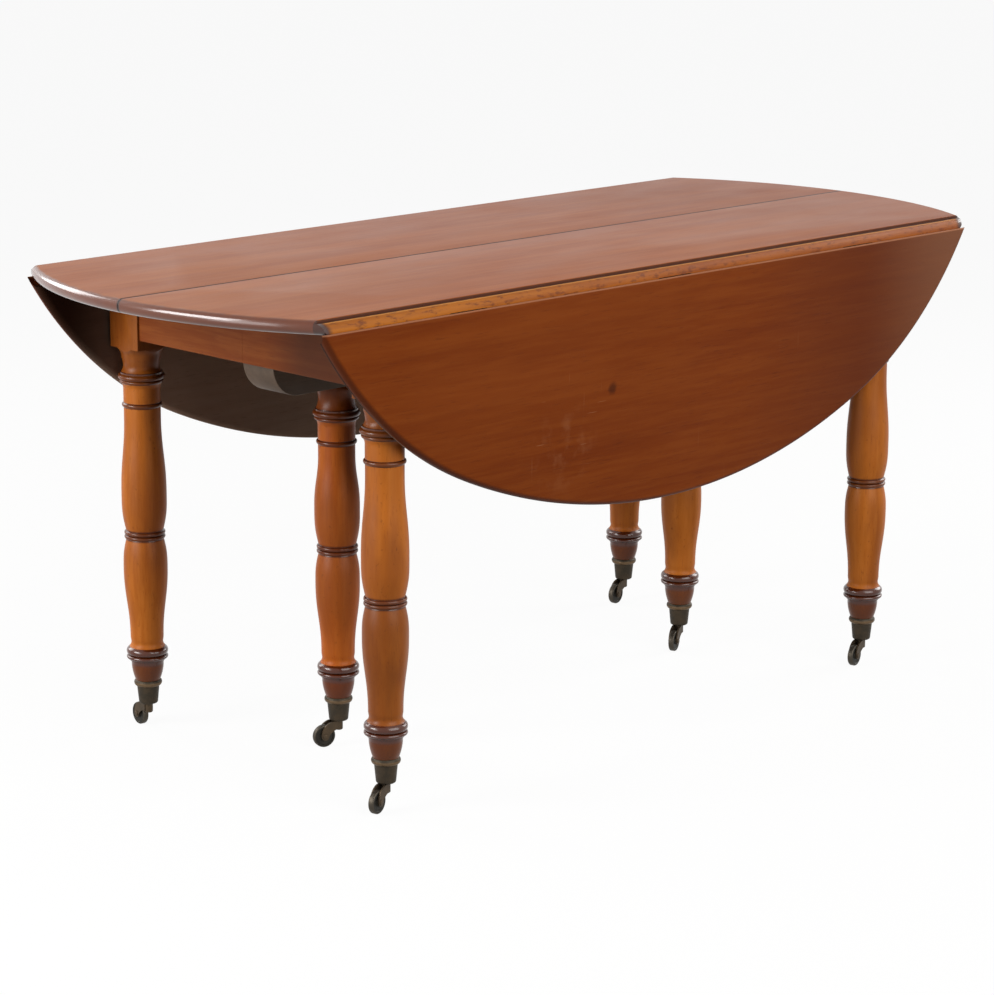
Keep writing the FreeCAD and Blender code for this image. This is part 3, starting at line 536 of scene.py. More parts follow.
# %% [markdown]
# ### Legs, aprons and bare wood
#
# The turned legs have a thinner stain than the boards, so they look orange, and the polish lies thick
# and dark in their rings, on their square blocks and on their feet. The mesh will carry a value that says
# where the stain is and where shade is painted, because two kinds of leg have their rings at different
# heights. Aprons get a flatter stain, with painted shade on the near ones. Runners, lopers and the beam
# were never polished, only darkened by age.

# %% Turned legs
TAN_TONES = (146, 78, 24), (166, 93, 33), (180, 108, 46), (106, 52, 18)   # deep, mid, pale, pores
RED_TONES = (146, 71, 21), (164, 84, 28), (178, 99, 40), (106, 48, 16)
LEG_CLOUD, PIT_DIRT, NICK_DIRT = paint(118, 62, 26), paint(84, 44, 20), paint(62, 32, 20)
# The colour of the stain and of the painted shade on the legs.
LEG_STAIN_AND_SHADE = paint(64, 27, 11)
COAT_POWER = 8           # only the fullest stain has the thick polish


def leg_finish(name, *tones):
    finish = Finish(name)
    grain = Grain(finish, "Z")
    body = grain.colour(*tones)
    cloud = finish.rise(finish.noise(13, (1, 1, 0.35), 4.0), 0.42, 0.66)
    body = finish.blend(cloud * 0.6, body, LEG_CLOUD)
    pit = finish.rise(finish.noise(150, detail=2.0), 0.66, 0.72)
    body = finish.blend(pit * 0.25, body, PIT_DIRT)
    nick = finish.rise(finish.noise(75, (1, 1, 0.5), 3.0), 0.72, 0.79)
    body = finish.blend(nick * 0.55, body, NICK_DIRT)
    # The attribute holds the stain and the painted shade in the grooves, on the necks, under the knee rings
    # and on one lower vase.
    stain_and_shade_level = finish.attribute("stain")
    body = finish.blend(stain_and_shade_level, body, LEG_STAIN_AND_SHADE)
    gloss = 0.36 + finish.noise(30, detail=3.0) * 0.16 - stain_and_shade_level * 0.16
    return finish.surface({"Base Color": body, "Roughness": gloss, "Specular IOR Level": 0.16,
                           "Coat Weight": stain_and_shade_level ** COAT_POWER, "Coat Roughness": 0.16,
                           "Normal": finish.bump(grain.relief() - nick, GRAIN_DEPTH)})


keep("tan_leg", leg_finish("tan_leg", *TAN_TONES))
keep("red_leg", leg_finish("red_leg", *RED_TONES))

# %% Aprons
APRON_TONES = (106, 51, 21), (124, 66, 30), (140, 82, 42), (78, 38, 16)   # deep, mid, pale, pores
# The second colour is painted shade on the near aprons.
APRON_CLOUD, APRON_NEAR_SHADE = paint(100, 48, 22), paint(62, 34, 20)
APRON_SHADE_BAND = -0.04, -0.14   # painted shade: the near aprons are darker than the far ones


def apron_finish(name, axis):
    finish = Finish(name)
    grain = Grain(finish, axis)
    body = grain.colour(*APRON_TONES)
    cloud = finish.rise(finish.noise(9, detail=3.0), 0.42, 0.7)
    body = finish.blend(cloud * 0.4, body, APRON_CLOUD)
    # Painted shade on the near aprons.
    body = finish.blend(finish.rise(finish.y, *APRON_SHADE_BAND) * 0.7, body, APRON_NEAR_SHADE)
    gloss = 0.45 + finish.noise(24, detail=3.0) * 0.15
    return finish.surface({"Base Color": body, "Roughness": gloss, "Specular IOR Level": 0.12,
                           "Normal": finish.bump(grain.relief(), GRAIN_DEPTH)})


keep("end_apron", apron_finish("end_apron", "Y"))
keep("side_apron", apron_finish("side_apron", "X"))

# %% Bare inner wood
BARE_TONES = (76, 60, 46), (90, 72, 56), (104, 84, 66), (56, 42, 32)      # deep, mid, pale, pores
GRIME = paint(52, 40, 30)
BARE_DEPTH = 0.08 * MM   # relief of grain that no polish fills


def bare_finish(name, axis):
    finish = Finish(name)
    grain = Grain(finish, axis)
    body = grain.colour(*BARE_TONES)
    grime = finish.rise(finish.noise(8, detail=4.0), 0.4, 0.7)
    body = finish.blend(grime * 0.5, body, GRIME)
    gloss = 0.62 + finish.noise(30, detail=3.0) * 0.14
    return finish.surface({"Base Color": body, "Roughness": gloss,
                           "Normal": finish.bump(grain.fibre - grain.pore, BARE_DEPTH)})


keep("bare_along", bare_finish("bare_along", "X"))
keep("bare_across", bare_finish("bare_across", "Y"))

# %% [markdown]
# ### Metals
#
# The castors are cast brass gone olive-brown, bright only where a hand or a carpet rubs them. The wheels
# are dull iron, grey on the tread. A metal is told by its reflections, so its colour stays dark and
# its roughness changes more than its colour.

# %% Tarnished brass, iron wheels, hinge iron
METALS = {               # dark tone, rubbed tone, roughness, blotches to the metre
    "castor_brass": (paint(49, 44, 36), paint(112, 90, 67), 0.46, 60.0),
    "wheel_iron": (paint(36, 35, 31), paint(82, 75, 66), 0.48, 70.0),
    "hinge_iron": (paint(52, 48, 44), paint(110, 100, 90), 0.45, 50.0),
}
FINE_SPOTS = 9           # fine spots to each blotch
CAST_DEPTH = 0.06 * MM   # relief of the castings


def metal_finish(name, dark, bright, rough, spots):
    finish = Finish(name)
    blotch = finish.rise(finish.noise(spots, detail=5.0, rough=0.6), 0.4, 0.66)
    fine = finish.noise(spots * FINE_SPOTS, detail=3.0)
    rub = finish.attribute("rub")
    shine = rub.maths("MINIMUM", blotch * 0.12 + rub * (0.5 + fine * 0.5), 1)
    body = finish.blend(shine, dark, bright)
    gloss = rough + fine * 0.2 - shine * 0.14
    return finish.surface({"Base Color": body, "Roughness": gloss, "Metallic": 0.75 + shine * 0.2,
                           "Normal": finish.bump(blotch * 0.4 + fine, CAST_DEPTH)})


for name, values in METALS.items():
    keep(name, metal_finish(name, *values))

# %% [markdown]
# ## Modelling tools
#
# Each piece starts as a primitive, which is then shaped in edit mode. A drawn outline starts as a plane
# merged to a single vertex: the vertex is drawn on from point to point, and spun wherever the outline
# is round. The result is a clean chain of edges, which can be filled, extruded or spun again.

# %% Pieces, outlines and cuts
X_AXIS, Y_AXIS, Z_AXIS = Vector((1, 0, 0)), Vector((0, 1, 0)), Vector((0, 0, 1))
SAME_PLACE = 0.01 * MM   # vertices closer than this are one
STRAIGHT = 0.999         # cosine above which two directions are the same
QUARTER = math.pi / 2
ROD_SIDES = 24


def only(obj):
    """Makes one object the selected and active one."""
    bpy.ops.object.select_all(action="DESELECT")
    obj.select_set(True)
    bpy.context.view_layer.objects.active = obj
    return obj


def fix_place(obj):
    """Puts the object's place, turn and scale into its mesh."""
    only(obj)
    bpy.ops.object.transform_apply(location=True, rotation=True, scale=True)
    return obj


def block(name, low, high):
    """A cube primitive stretched between two corners."""
    low, high = Vector(low), Vector(high)
    obj = primitive(bpy.ops.mesh.primitive_cube_add, name, size=1, location=(low + high) / 2)
    obj.scale = high - low
    return fix_place(obj)


def rod(name, radius, run, place, tilt):
    """A cylinder primitive at its place, turned by three angles."""
    return fix_place(primitive(bpy.ops.mesh.primitive_cylinder_add, name, vertices=ROD_SIDES,
                               radius=radius, depth=run, location=place, rotation=tilt))


def discard(*objs):
    """Takes away tools and models that are used up."""
    for obj in objs:
        bpy.data.objects.remove(obj, do_unlink=True)


def choose_edges(obj, test):
    """In edit mode, selects the edges that pass a test of their place."""
    bpy.ops.mesh.select_mode(type="EDGE")
    bpy.ops.mesh.select_all(action="DESELECT")
    shape = bmesh.from_edit_mesh(obj.data)
    for edge in shape.edges:
        if test(edge):
            edge.select_set(True)
    shape.select_flush_mode()
    bmesh.update_edit_mesh(obj.data)


def middle(edge):
    """Middle of an edge."""
    return (edge.verts[0].co + edge.verts[1].co) / 2


def along(edge, axis):
    """Whether an edge runs along an axis."""
    run = edge.verts[1].co - edge.verts[0].co
    return abs(run.normalized().dot(axis)) > STRAIGHT


def round_edges(obj, test, width, segments=3):
    """Rounds the edges of a piece that pass a test."""
    only(obj)
    bpy.ops.object.mode_set(mode="EDIT")
    choose_edges(obj, test)
    bpy.ops.mesh.bevel(offset=width, segments=segments, profile=0.5, affect="EDGES")
    bpy.ops.object.mode_set(mode="OBJECT")
    return obj


def cut(obj, tool, operation="DIFFERENCE"):
    """Cuts, joins or trims a piece with another, which is used up."""
    modifier = obj.modifiers.new("cut", "BOOLEAN")
    modifier.operation = operation
    modifier.solver = "EXACT"
    modifier.object = tool
    only(obj)
    bpy.ops.object.modifier_apply(modifier=modifier.name)
    discard(tool)
    return obj


def copy(obj, name):
    """A copy with its own mesh."""
    only(obj)
    bpy.ops.object.duplicate(linked=False)
    bpy.context.object.name = name
    return bpy.context.object


def close_up(obj):
    """Merges doubles and points every face outwards."""
    only(obj)
    bpy.ops.object.mode_set(mode="EDIT")
    bpy.ops.mesh.select_all(action="SELECT")
    bpy.ops.mesh.remove_doubles(threshold=SAME_PLACE)
    bpy.ops.mesh.normals_make_consistent(inside=False)
    bpy.ops.object.mode_set(mode="OBJECT")
    return obj


def mirror_copy(obj, name, axis):
    """A mirror image in the plane across an axis, with its own mesh."""
    twin = copy(obj, name)
    twin.scale = [-1 if part else 1 for part in axis]
    fix_place(twin)
    return close_up(twin)


def move(obj, step):
    """Moves a piece, in its mesh."""
    only(obj)
    bpy.ops.transform.translate(value=step)
    return fix_place(obj)


def turn(obj, angle, axis, centre):
    """Turns a piece about an axis through a point, in its mesh."""
    only(obj)
    bpy.ops.transform.rotate(value=-angle, orient_axis=axis, center_override=centre)
    return fix_place(obj)


print("tools ready")

# %% The pencil
class Pencil:
    """Draws an outline as by hand: one vertex, drawn on into edges and spun into arcs."""

    def __init__(self, name, start, axis):
        self.obj = primitive(bpy.ops.mesh.primitive_plane_add, name, size=MM)
        self.axis = axis
        self.point = Vector(start)
        bpy.ops.object.mode_set(mode="EDIT")
        bpy.ops.mesh.select_mode(type="VERT")
        bpy.ops.mesh.merge(type="CENTER")
        bpy.ops.transform.translate(value=self.point)

    def line(self, *points):
        for point in points:
            step = Vector(point) - self.point
            bpy.ops.mesh.extrude_vertices_move(TRANSFORM_OT_translate={"value": step})
            self.point = Vector(point)

    def arc(self, centre, angle, steps):
        """An arc about a centre, right-handed about the pencil's axis."""
        centre = Vector(centre)
        bpy.ops.mesh.spin(steps=steps, angle=-angle, center=centre, axis=self.axis)
        self.point = centre + Matrix.Rotation(angle, 3, self.axis) @ (self.point - centre)

    def arc_through(self, way, end, steps):
        """The arc that passes one point on its way to another."""
        way, end = Vector(way), Vector(end)
        first, second = way - self.point, end - self.point
        normal = first.cross(second)
        offset = second.length_squared * first - first.length_squared * second
        centre = self.point + offset.cross(normal) / (-2 * normal.length_squared)
        start_arm, end_arm = self.point - centre, end - centre
        angle = math.atan2(self.axis.dot(start_arm.cross(end_arm)), start_arm.dot(end_arm))
        handed = math.copysign(1, self.axis.dot(normal))
        if angle * handed < 0:
            angle += handed * 2 * math.pi
        self.arc(centre, angle, steps)

    def prism(self, push):
        """Closes the outline, fills it with one face and draws that out into a solid."""
        bpy.ops.mesh.select_all(action="SELECT")
        bpy.ops.mesh.remove_doubles(threshold=SAME_PLACE)
        bpy.ops.mesh.edge_face_add()
        bpy.ops.mesh.select_all(action="SELECT")
        bpy.ops.mesh.extrude_region_move(TRANSFORM_OT_translate={"value": push})
        bpy.ops.object.mode_set(mode="OBJECT")
        return close_up(self.obj)

    def turned(self, centre, axis, steps):
        """Spins the outline into a turned solid."""
        bpy.ops.mesh.select_all(action="SELECT")
        bpy.ops.mesh.spin(steps=steps, angle=2 * math.pi, center=centre, axis=axis)
        bpy.ops.object.mode_set(mode="OBJECT")
        return close_up(self.obj)


print("pencil ready")

# %% [markdown]
# ## Settling a piece
#
# A finished piece takes the place of a CAD node: it rides on the same body, hides the node, and
# carries a finish. One function does all of that, and smooths the shading up to the
# angle at which an edge should look crisp.

# %% Put a piece in a node's place
CRISP = math.radians(35)


def settle(piece, node, finish):
    only(piece)
    bpy.ops.object.shade_smooth_by_angle(angle=CRISP)
    piece.data.materials.clear()
    piece.data.materials.append(FINISHES[finish])
    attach(piece, frame["nodes"][node]["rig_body"])
    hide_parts(node)
    print(piece.name, len(piece.data.polygons), "faces")


# %% [markdown]
# ## Top and leaves
#
# On the real table the oval was sawn and rounded once, through the top and its raised leaves
# together, so the outlines meet. The same order works here: one oval slab with a rounded edge, then
# each board as a long moulded section, and the board kept only where it lies inside the slab.
# Bevelling four separate boards would leave four slightly different edges.

# %% The oval slab
ARC_STEP = 9 * MM        # length of the slab's facets along its edge
ROUND_STEPS, EASE_STEPS, RULE_STEPS = 6, 3, 12       # facets of the edge, an eased corner, the rule joint


def oval_slab():
    shoulder = HALF_LENGTH - EDGE_ROUND
    edge = Pencil("oval", (shoulder, 0, TOP_Z), Y_AXIS)
    edge.arc((shoulder, 0, TOP_Z - EDGE_ROUND), QUARTER, ROUND_STEPS)
    edge.line((HALF_LENGTH, 0, UNDER_Z + EDGE_ROUND))
    edge.arc((shoulder, 0, UNDER_Z + EDGE_ROUND), QUARTER, ROUND_STEPS)
    bpy.ops.mesh.select_all(action="SELECT")
    side_turn = math.pi - 2 * JOIN_ANGLE
    for x, y, sweep, radius in ((END_X, 0, JOIN_ANGLE, END_R), (0, -SIDE_DROP, side_turn, SIDE_R),
                                (-END_X, 0, 2 * JOIN_ANGLE, END_R), (0, SIDE_DROP, side_turn, SIDE_R),
                                (END_X, 0, JOIN_ANGLE, END_R)):
        steps = math.ceil(sweep * radius / ARC_STEP)
        bpy.ops.mesh.spin(steps=steps, angle=-sweep, center=(x, y, 0), axis=Z_AXIS)
    bpy.ops.mesh.select_all(action="SELECT")
    bpy.ops.mesh.remove_doubles(threshold=SAME_PLACE)
    for level in (TOP_Z, UNDER_Z):
        choose_edges(edge.obj, lambda e: e.is_boundary and abs(middle(e).z - level) < SAME_PLACE)
        bpy.ops.mesh.edge_face_add()
    bpy.ops.object.mode_set(mode="OBJECT")
    return close_up(edge.obj)


slab = oval_slab()
print("slab", sizes(slab.dimensions))

# %% Moulded sections of the boards
TOOL_REACH = 20 * MM     # how far a tool stands past what it cuts
SPLIT_EASE = 1.0 * MM    # rounding of the split's upper edges
RULE_EASE = 0.7 * MM     # rounding of the upper edge over the rule joint
LIP_GAP = 0.6 * MM       # room between the fillet and the leaf's lip
saw_x = -HALF_LENGTH - TOOL_REACH
saw_run = -2 * saw_x * X_AXIS


def top_section():
    """Section of the far half, from its split to the quarter round of its rule joint."""
    edge = Pencil("far_top_piece", (saw_x, SPLIT_Y, UNDER_Z), X_AXIS)
    edge.line((saw_x, SPLIT_Y, TOP_Z - SPLIT_EASE))
    edge.arc((saw_x, SPLIT_Y + SPLIT_EASE, TOP_Z - SPLIT_EASE), -QUARTER, EASE_STEPS)
    edge.line((saw_x, RULE_Y - RULE_EASE, TOP_Z))
    edge.arc((saw_x, RULE_Y - RULE_EASE, TOP_Z - RULE_EASE), -QUARTER, EASE_STEPS)
    edge.line((saw_x, RULE_Y, PIN_Z + RULE_ROUND))
    edge.arc((saw_x, RULE_Y, PIN_Z), -QUARTER, RULE_STEPS)
    edge.line((saw_x, RULE_Y + RULE_ROUND, UNDER_Z))
    return edge.prism(saw_run)


def leaf_section():
    """Section of the far leaf, raised, with the hollow that the quarter round turns in."""
    lip_y, lip_z = RULE_Y + LIP_GAP, PIN_Z + RULE_ROUND + LIP_GAP
    edge = Pencil("far_leaf_piece", (saw_x, lip_y, lip_z), X_AXIS)
    edge.line((saw_x, lip_y, TOP_Z - RULE_EASE))
    edge.arc((saw_x, lip_y + RULE_EASE, TOP_Z - RULE_EASE), -QUARTER, EASE_STEPS)
    edge.line((saw_x, HALF_WIDTH + TOOL_REACH, TOP_Z))
    edge.line((saw_x, HALF_WIDTH + TOOL_REACH, UNDER_Z))
    edge.line((saw_x, lip_y + RULE_ROUND, UNDER_Z))
    edge.line((saw_x, lip_y + RULE_ROUND, PIN_Z + LIP_GAP))
    edge.arc((saw_x, lip_y, PIN_Z + LIP_GAP), QUARTER, RULE_STEPS)
    return edge.prism(saw_run)


far_top = cut(top_section(), copy(slab, "slab_for_top"), "INTERSECT")
far_leaf = cut(leaf_section(), slab, "INTERSECT")
print("boards", sizes(far_top.dimensions), sizes(far_leaf.dimensions))

# %% Beds for the hinges
HINGE_SPOTS = (-0.42, 0.0, 0.42)
HINGE_HALF = 35.2 * MM   # half a plate's length, with room
PLATE_BED = 2.2 * MM     # depth of the beds
TOP_BED, LEAF_BED = 28.2 * MM, 44.2 * MM     # reach of the beds from the pins
KNUCKLE_BED = 4.7 * MM   # radius of the room for the knuckles


def knuckle_groove(x):
    """Round tool that makes room for a hinge's knuckles."""
    return rod("groove", KNUCKLE_BED, 2 * HINGE_HALF, (x, RULE_Y, PIN_Z), (0, QUARTER, 0))


for x in HINGE_SPOTS:
    low_z, high_z = UNDER_Z - TOOL_REACH, UNDER_Z + PLATE_BED
    cut(far_top, block("bed", (x - HINGE_HALF, RULE_Y - TOP_BED, low_z),
                       (x + HINGE_HALF, RULE_Y + RULE_ROUND + TOOL_REACH, high_z)))
    cut(far_top, knuckle_groove(x))
    cut(far_leaf, block("bed", (x - HINGE_HALF, RULE_Y - TOOL_REACH, low_z),
                        (x + HINGE_HALF, RULE_Y + LEAF_BED, high_z)))
turn(far_leaf, -QUARTER, "X", (0, RULE_Y, PIN_Z))
print("leaf hangs to", round(min(v.co.z for v in far_leaf.data.vertices), 4), "m")

# %% Both sides settled
near_top = mirror_copy(far_top, "near_top_piece", Y_AXIS)
near_leaf = mirror_copy(far_leaf, "near_leaf_piece", Y_AXIS)
for side, top, leaf in (("far", far_top, far_leaf), ("near", near_top, near_leaf)):
    settle(close_up(top), f"{side}_top", "top_wood")
    settle(close_up(leaf), f"{side}_leaf", "leaf_wood")

# %% [markdown]
# ## Legs
#
# A turner works from a square blank: the upper end of a corner leg stays a square block for the aprons'
# joints, and the lathe cuts its lower end to a round shoulder. Below that the profile is a row of
# beads, steps and long swells. Each is drawn once with the pencil, beads as true arcs and swells as
# smooth curves, and the whole profile is spun. Stacked primitives would leave seams between the rings.

# %% Levels of the legs
BLOCK = 64 * MM
BLOCK_EASE = 1.5 * MM
BLOCK_BOTTOM = UNDER_Z - 113 * MM
SHOULDER, SHOULDER_TOP_R, SHOULDER_R = 17 * MM, 36 * MM, 29 * MM
SHOULDER_BOTTOM = BLOCK_BOTTOM - SHOULDER
BEAM_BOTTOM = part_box("centre_beam")[0].z
FOOT_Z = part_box("near_left_castor_socket")[1].z
SPIGOT_R, SPIGOT_DROP = 11.5 * MM, 20 * MM
CURVE_HOLD = 0.42        # how long a swell keeps the slope it starts with
SWELL_STEPS = 22
TURN_STEPS = 64


class LegPencil(Pencil):
    """A pencil that follows a turned profile downwards, in radius and height."""

    def __init__(self, name, radius, level):
        super().__init__(name, (0, 0, level), Y_AXIS)
        self.to(radius, level)

    def to(self, radius, level):
        self.line((radius, 0, level))

    def down(self, height):
        self.to(self.point.x, self.point.z - height)

    def step(self, radius):
        self.to(radius, self.point.z)

    def bead(self, crest, height, steps=9):
        """Half-round ring that comes back to the radius that it starts from."""
        rise, half = crest - self.point.x, height / 2
        radius = (half * half + rise * rise) / (2 * rise)
        sweep = 2 * math.atan2(half, radius - rise)
        self.arc((crest - radius, 0, self.point.z - half), sweep, steps)

    def flow(self, lead, radius, level, trail):
        """Smooth swell whose ends leave at the given slopes, in radius per height."""
        start, end = self.point.copy(), Vector((radius, 0, level))
        reach = (end.z - start.z) * CURVE_HOLD
        poles = (start, start + Vector((lead * reach, 0, reach)),
                 end - Vector((trail * reach, 0, reach)), end)
        for number in range(1, SWELL_STEPS + 1):
            t = number / SWELL_STEPS
            weights = ((1 - t) ** 3, 3 * t * (1 - t) ** 2, 3 * t * t * (1 - t), t ** 3)
            self.line(sum((pole * weight for pole, weight in zip(poles, weights)), Vector()))

    def solid(self):
        self.step(0)
        return self.turned((0, 0, 0), Z_AXIS, TURN_STEPS)


print("corner block", round(BLOCK_BOTTOM, 3), "to", round(UNDER_Z, 3), "m")

# %% Profile of the turning
BIG_RING_BASE, BIG_RING_R, BIG_RING_HEIGHT = 30.2 * MM, 35.0 * MM, 8.5 * MM
UNDER_RING_R, UNDER_RING_HEIGHT = 32.6 * MM, 5.5 * MM
COLLAR_R, COLLAR_DROP, COLLAR_HEIGHT = 31.6 * MM, 37.5 * MM, 2.5 * MM
DRUM_R, DRUM_DROP, DRUM_FLARE = 27.5 * MM, 66.0 * MM, 0.6
SMALL_RING_R, SMALL_RING_DROP, SMALL_RING_HEIGHT = 30.0 * MM, 83.5 * MM, 7.0 * MM
VASE_R, VASE_DROP = 27.3 * MM, 108.0 * MM
UPPER_SWELL_R, UPPER_SWELL_RISE = 33.6 * MM, 292.0 * MM
WAIST_R, WAIST_RISE, WAIST_SLOPE = 27.8 * MM, 226.0 * MM, 0.25
DOUBLE_RING_R, DOUBLE_RING_HALF = 30.6 * MM, 6.5 * MM
LOWER_SWELL_R, LOWER_SWELL_RISE = 32.9 * MM, 174.0 * MM
ANKLE_R, ANKLE_RISE = 24.8 * MM, 68.0 * MM
KNEE_BASE, KNEE_R, KNEE_RISE, KNEE_FLARE = 27.0 * MM, 31.2 * MM, 39.2 * MM, 0.8
KNEE_UPPER, KNEE_LOWER = 12.6 * MM, 5.6 * MM
THIN_RING_R, THIN_RING_HEIGHT = 26.2 * MM, 3.0 * MM
CUP_R, CUP_FOOT_R, CUP_BULGE = 24.2 * MM, 18.6 * MM, 1.6 * MM
BRUSH = 1.0 * MM         # how far the stain of a ring runs out beside it


def turn_leg(leg, top):
    """Follows a leg's profile on from its neck, down to the spigot in the castor."""
    leg.step(COLLAR_R)
    leg.down(COLLAR_HEIGHT)
    leg.step(BIG_RING_BASE)
    leg.bead(BIG_RING_R, BIG_RING_HEIGHT)
    leg.bead(UNDER_RING_R, UNDER_RING_HEIGHT)
    leg.flow(DRUM_FLARE, DRUM_R, top - DRUM_DROP, 0)
    leg.to(DRUM_R, top - SMALL_RING_DROP + BRUSH)
    leg.down(BRUSH)
    leg.bead(SMALL_RING_R, SMALL_RING_HEIGHT)
    leg.step(VASE_R)
    leg.down(BRUSH)
    leg.to(VASE_R, top - VASE_DROP)
    leg.flow(0, UPPER_SWELL_R, FOOT_Z + UPPER_SWELL_RISE, 0)
    leg.flow(0, WAIST_R, FOOT_Z + WAIST_RISE + DOUBLE_RING_HALF, WAIST_SLOPE)
    leg.bead(DOUBLE_RING_R, DOUBLE_RING_HALF)
    leg.bead(DOUBLE_RING_R, DOUBLE_RING_HALF)
    leg.flow(-WAIST_SLOPE, LOWER_SWELL_R, FOOT_Z + LOWER_SWELL_RISE, 0)
    leg.flow(0, ANKLE_R, FOOT_Z + ANKLE_RISE, 0)
    leg.flow(0, KNEE_BASE, FOOT_Z + KNEE_RISE + KNEE_UPPER, -KNEE_FLARE)
    leg.bead(KNEE_R, KNEE_UPPER)
    leg.bead(KNEE_R, KNEE_LOWER)
    leg.step(THIN_RING_R)
    leg.down(THIN_RING_HEIGHT)
    leg.step(CUP_R)
    way = Vector(((CUP_R + CUP_FOOT_R) / 2 + CUP_BULGE, 0, (leg.point.z + FOOT_Z) / 2))
    leg.arc_through(way, (CUP_FOOT_R, 0, FOOT_Z), 8)
    leg.step(SPIGOT_R)
    leg.down(SPIGOT_DROP)
    return leg.solid()


print("swells at", UPPER_SWELL_R / MM, "and", LOWER_SWELL_R / MM, "mm radius")

# %% Corner leg
SHORT_NECK_R, NECK_FLARE = 28.0 * MM, 0.7
SHOULDER_LEAD, SHOULDER_TRAIL = 0.9, 0.1
NECK_TUCK = 10 * MM      # how far the turned part reaches up into the block


def corner_leg():
    half = BLOCK / 2
    square = block("corner_leg", (-half, -half, SHOULDER_BOTTOM), (half, half, UNDER_Z))
    round_edges(square, lambda e: along(e, Z_AXIS), BLOCK_EASE)
    lathe = LegPencil("shoulder", BLOCK, UNDER_Z + TOOL_REACH)
    lathe.to(BLOCK, BLOCK_BOTTOM)
    lathe.step(SHOULDER_TOP_R)
    lathe.flow(SHOULDER_LEAD, SHOULDER_R, SHOULDER_BOTTOM, SHOULDER_TRAIL)
    cut(square, lathe.solid(), "INTERSECT")
    neck = LegPencil("neck", SHORT_NECK_R, SHOULDER_BOTTOM + NECK_TUCK)
    neck.to(SHORT_NECK_R, SHOULDER_BOTTOM)
    neck.flow(0, BIG_RING_BASE, BLOCK_BOTTOM - COLLAR_DROP, -NECK_FLARE)
    return cut(square, turn_leg(neck, BLOCK_BOTTOM), "UNION")


corner = corner_leg()
print("corner leg", sizes(corner.dimensions))

# %% Centre leg
CAP_R, CAP_ROUND, CAP_HEIGHT = 29.2 * MM, 0.8 * MM, 9.0 * MM
NECK_R, NECK_DROP = 26.6 * MM, 24.0 * MM


def centre_leg():
    head = LegPencil("centre_leg", CAP_R, BEAM_BOTTOM)
    head.bead(CAP_R + CAP_ROUND, CAP_HEIGHT)
    head.arc_through((NECK_R, 0, BEAM_BOTTOM - NECK_DROP),
                     (BIG_RING_BASE, 0, BEAM_BOTTOM - COLLAR_DROP), 10)
    return turn_leg(head, BEAM_BOTTOM)


centre = centre_leg()
print("centre leg", sizes(centre.dimensions))

# %% [markdown]
# The polish is darker in the rings, so each vertex of a leg gets a value for its stain and its painted
# shade, worked out from its height. Painting it by hand would do as well, but a rule by height is the same
# on all six legs.

# %% Stain and painted shade on the legs, then a leg at each place
RING_STAIN, KNEE_STAIN, FOOT_STAIN = 0.78, 0.95, 0.8
# The neck's value is partly stain and partly painted shade under the corner legs' blocks and under the beam.
NECK_STAIN_AND_SHADE, BLOCK_STAIN = 0.55, 0.45
SHADED_LEG, LOWER_VASE_SHADE = "near_left", 0.4       # painted shade on the lower vase of one leg
RED_LEG = "left_centre"                      # one leg is of a redder wood
GROOVE_SHADE = 0.5 * MM        # height of the painted shade line in the groove at each end of a ring
FOOT_SHADE = 5 * MM      # how far painted shade under the knee ring runs down the foot, as dark as the knee's stain


def stain_and_shade_bands(top):
    """Lowest level, highest level and strength of each darkened length of a leg: stain, and painted shade on
    the necks and under the knee ring.
    """
    big = top - COLLAR_DROP
    small = top - SMALL_RING_DROP
    double = FOOT_Z + WAIST_RISE
    knee = FOOT_Z + KNEE_RISE + KNEE_UPPER
    thin = knee - KNEE_UPPER - KNEE_LOWER - THIN_RING_HEIGHT
    return ((big - COLLAR_HEIGHT - BIG_RING_HEIGHT - UNDER_RING_HEIGHT, big, RING_STAIN),
            (small - SMALL_RING_HEIGHT, small, RING_STAIN),
            (double - DOUBLE_RING_HALF, double, RING_STAIN),
            (double, double + DOUBLE_RING_HALF, RING_STAIN),
            (thin - FOOT_SHADE, knee, KNEE_STAIN), (FOOT_Z, thin, FOOT_STAIN), (big, top, NECK_STAIN_AND_SHADE),
            (top, UNDER_Z, BLOCK_STAIN))


def stain(leg, top, vase_shade):
    """Marks the stain and the painted shade in a vertex attribute that the finish reads."""
    marks = leg.data.attributes.new("stain", "FLOAT", "POINT")
    # Painted shade on one leg's lower vase.
    vase_shade_band = (FOOT_Z + KNEE_RISE, FOOT_Z + WAIST_RISE, vase_shade)
    for vertex, mark in zip(leg.data.vertices, marks.data):
        z = vertex.co.z
        for low, high, strength in (*stain_and_shade_bands(top), vase_shade_band):
            if low - SAME_PLACE < z < high + SAME_PLACE:
                # A ring's grooves get painted shade at full strength.
                groove = strength == RING_STAIN and min(z - low, high - z) < GROOVE_SHADE
                mark.value = max(mark.value, 1.0 if groove else strength)


for leg in LEGS:
    model, top = (centre, BEAM_BOTTOM) if "centre" in leg else (corner, BLOCK_BOTTOM)
    piece = copy(model, f"{leg}_leg_piece")
    stain(piece, top, LOWER_VASE_SHADE if leg == SHADED_LEG else 0.0)
    move(piece, LEG_AXIS[leg].to_3d())
    settle(piece, f"{leg}_leg", "red_leg" if leg == RED_LEG else "tan_leg")
discard(corner, centre)

# %% [markdown]
# ## Aprons and beam
#
# The aprons are plain boards let into the blocks, with their edges taken off by a plane. They are cubes at
# the boards' size whose long edges are bevelled. The end aprons stop at the split, because each half of the
# table takes its own part along. The side aprons are notched for the lopers, the bars that hold up a
# raised leaf. The beam is a longer board with its lower ends sawn round.

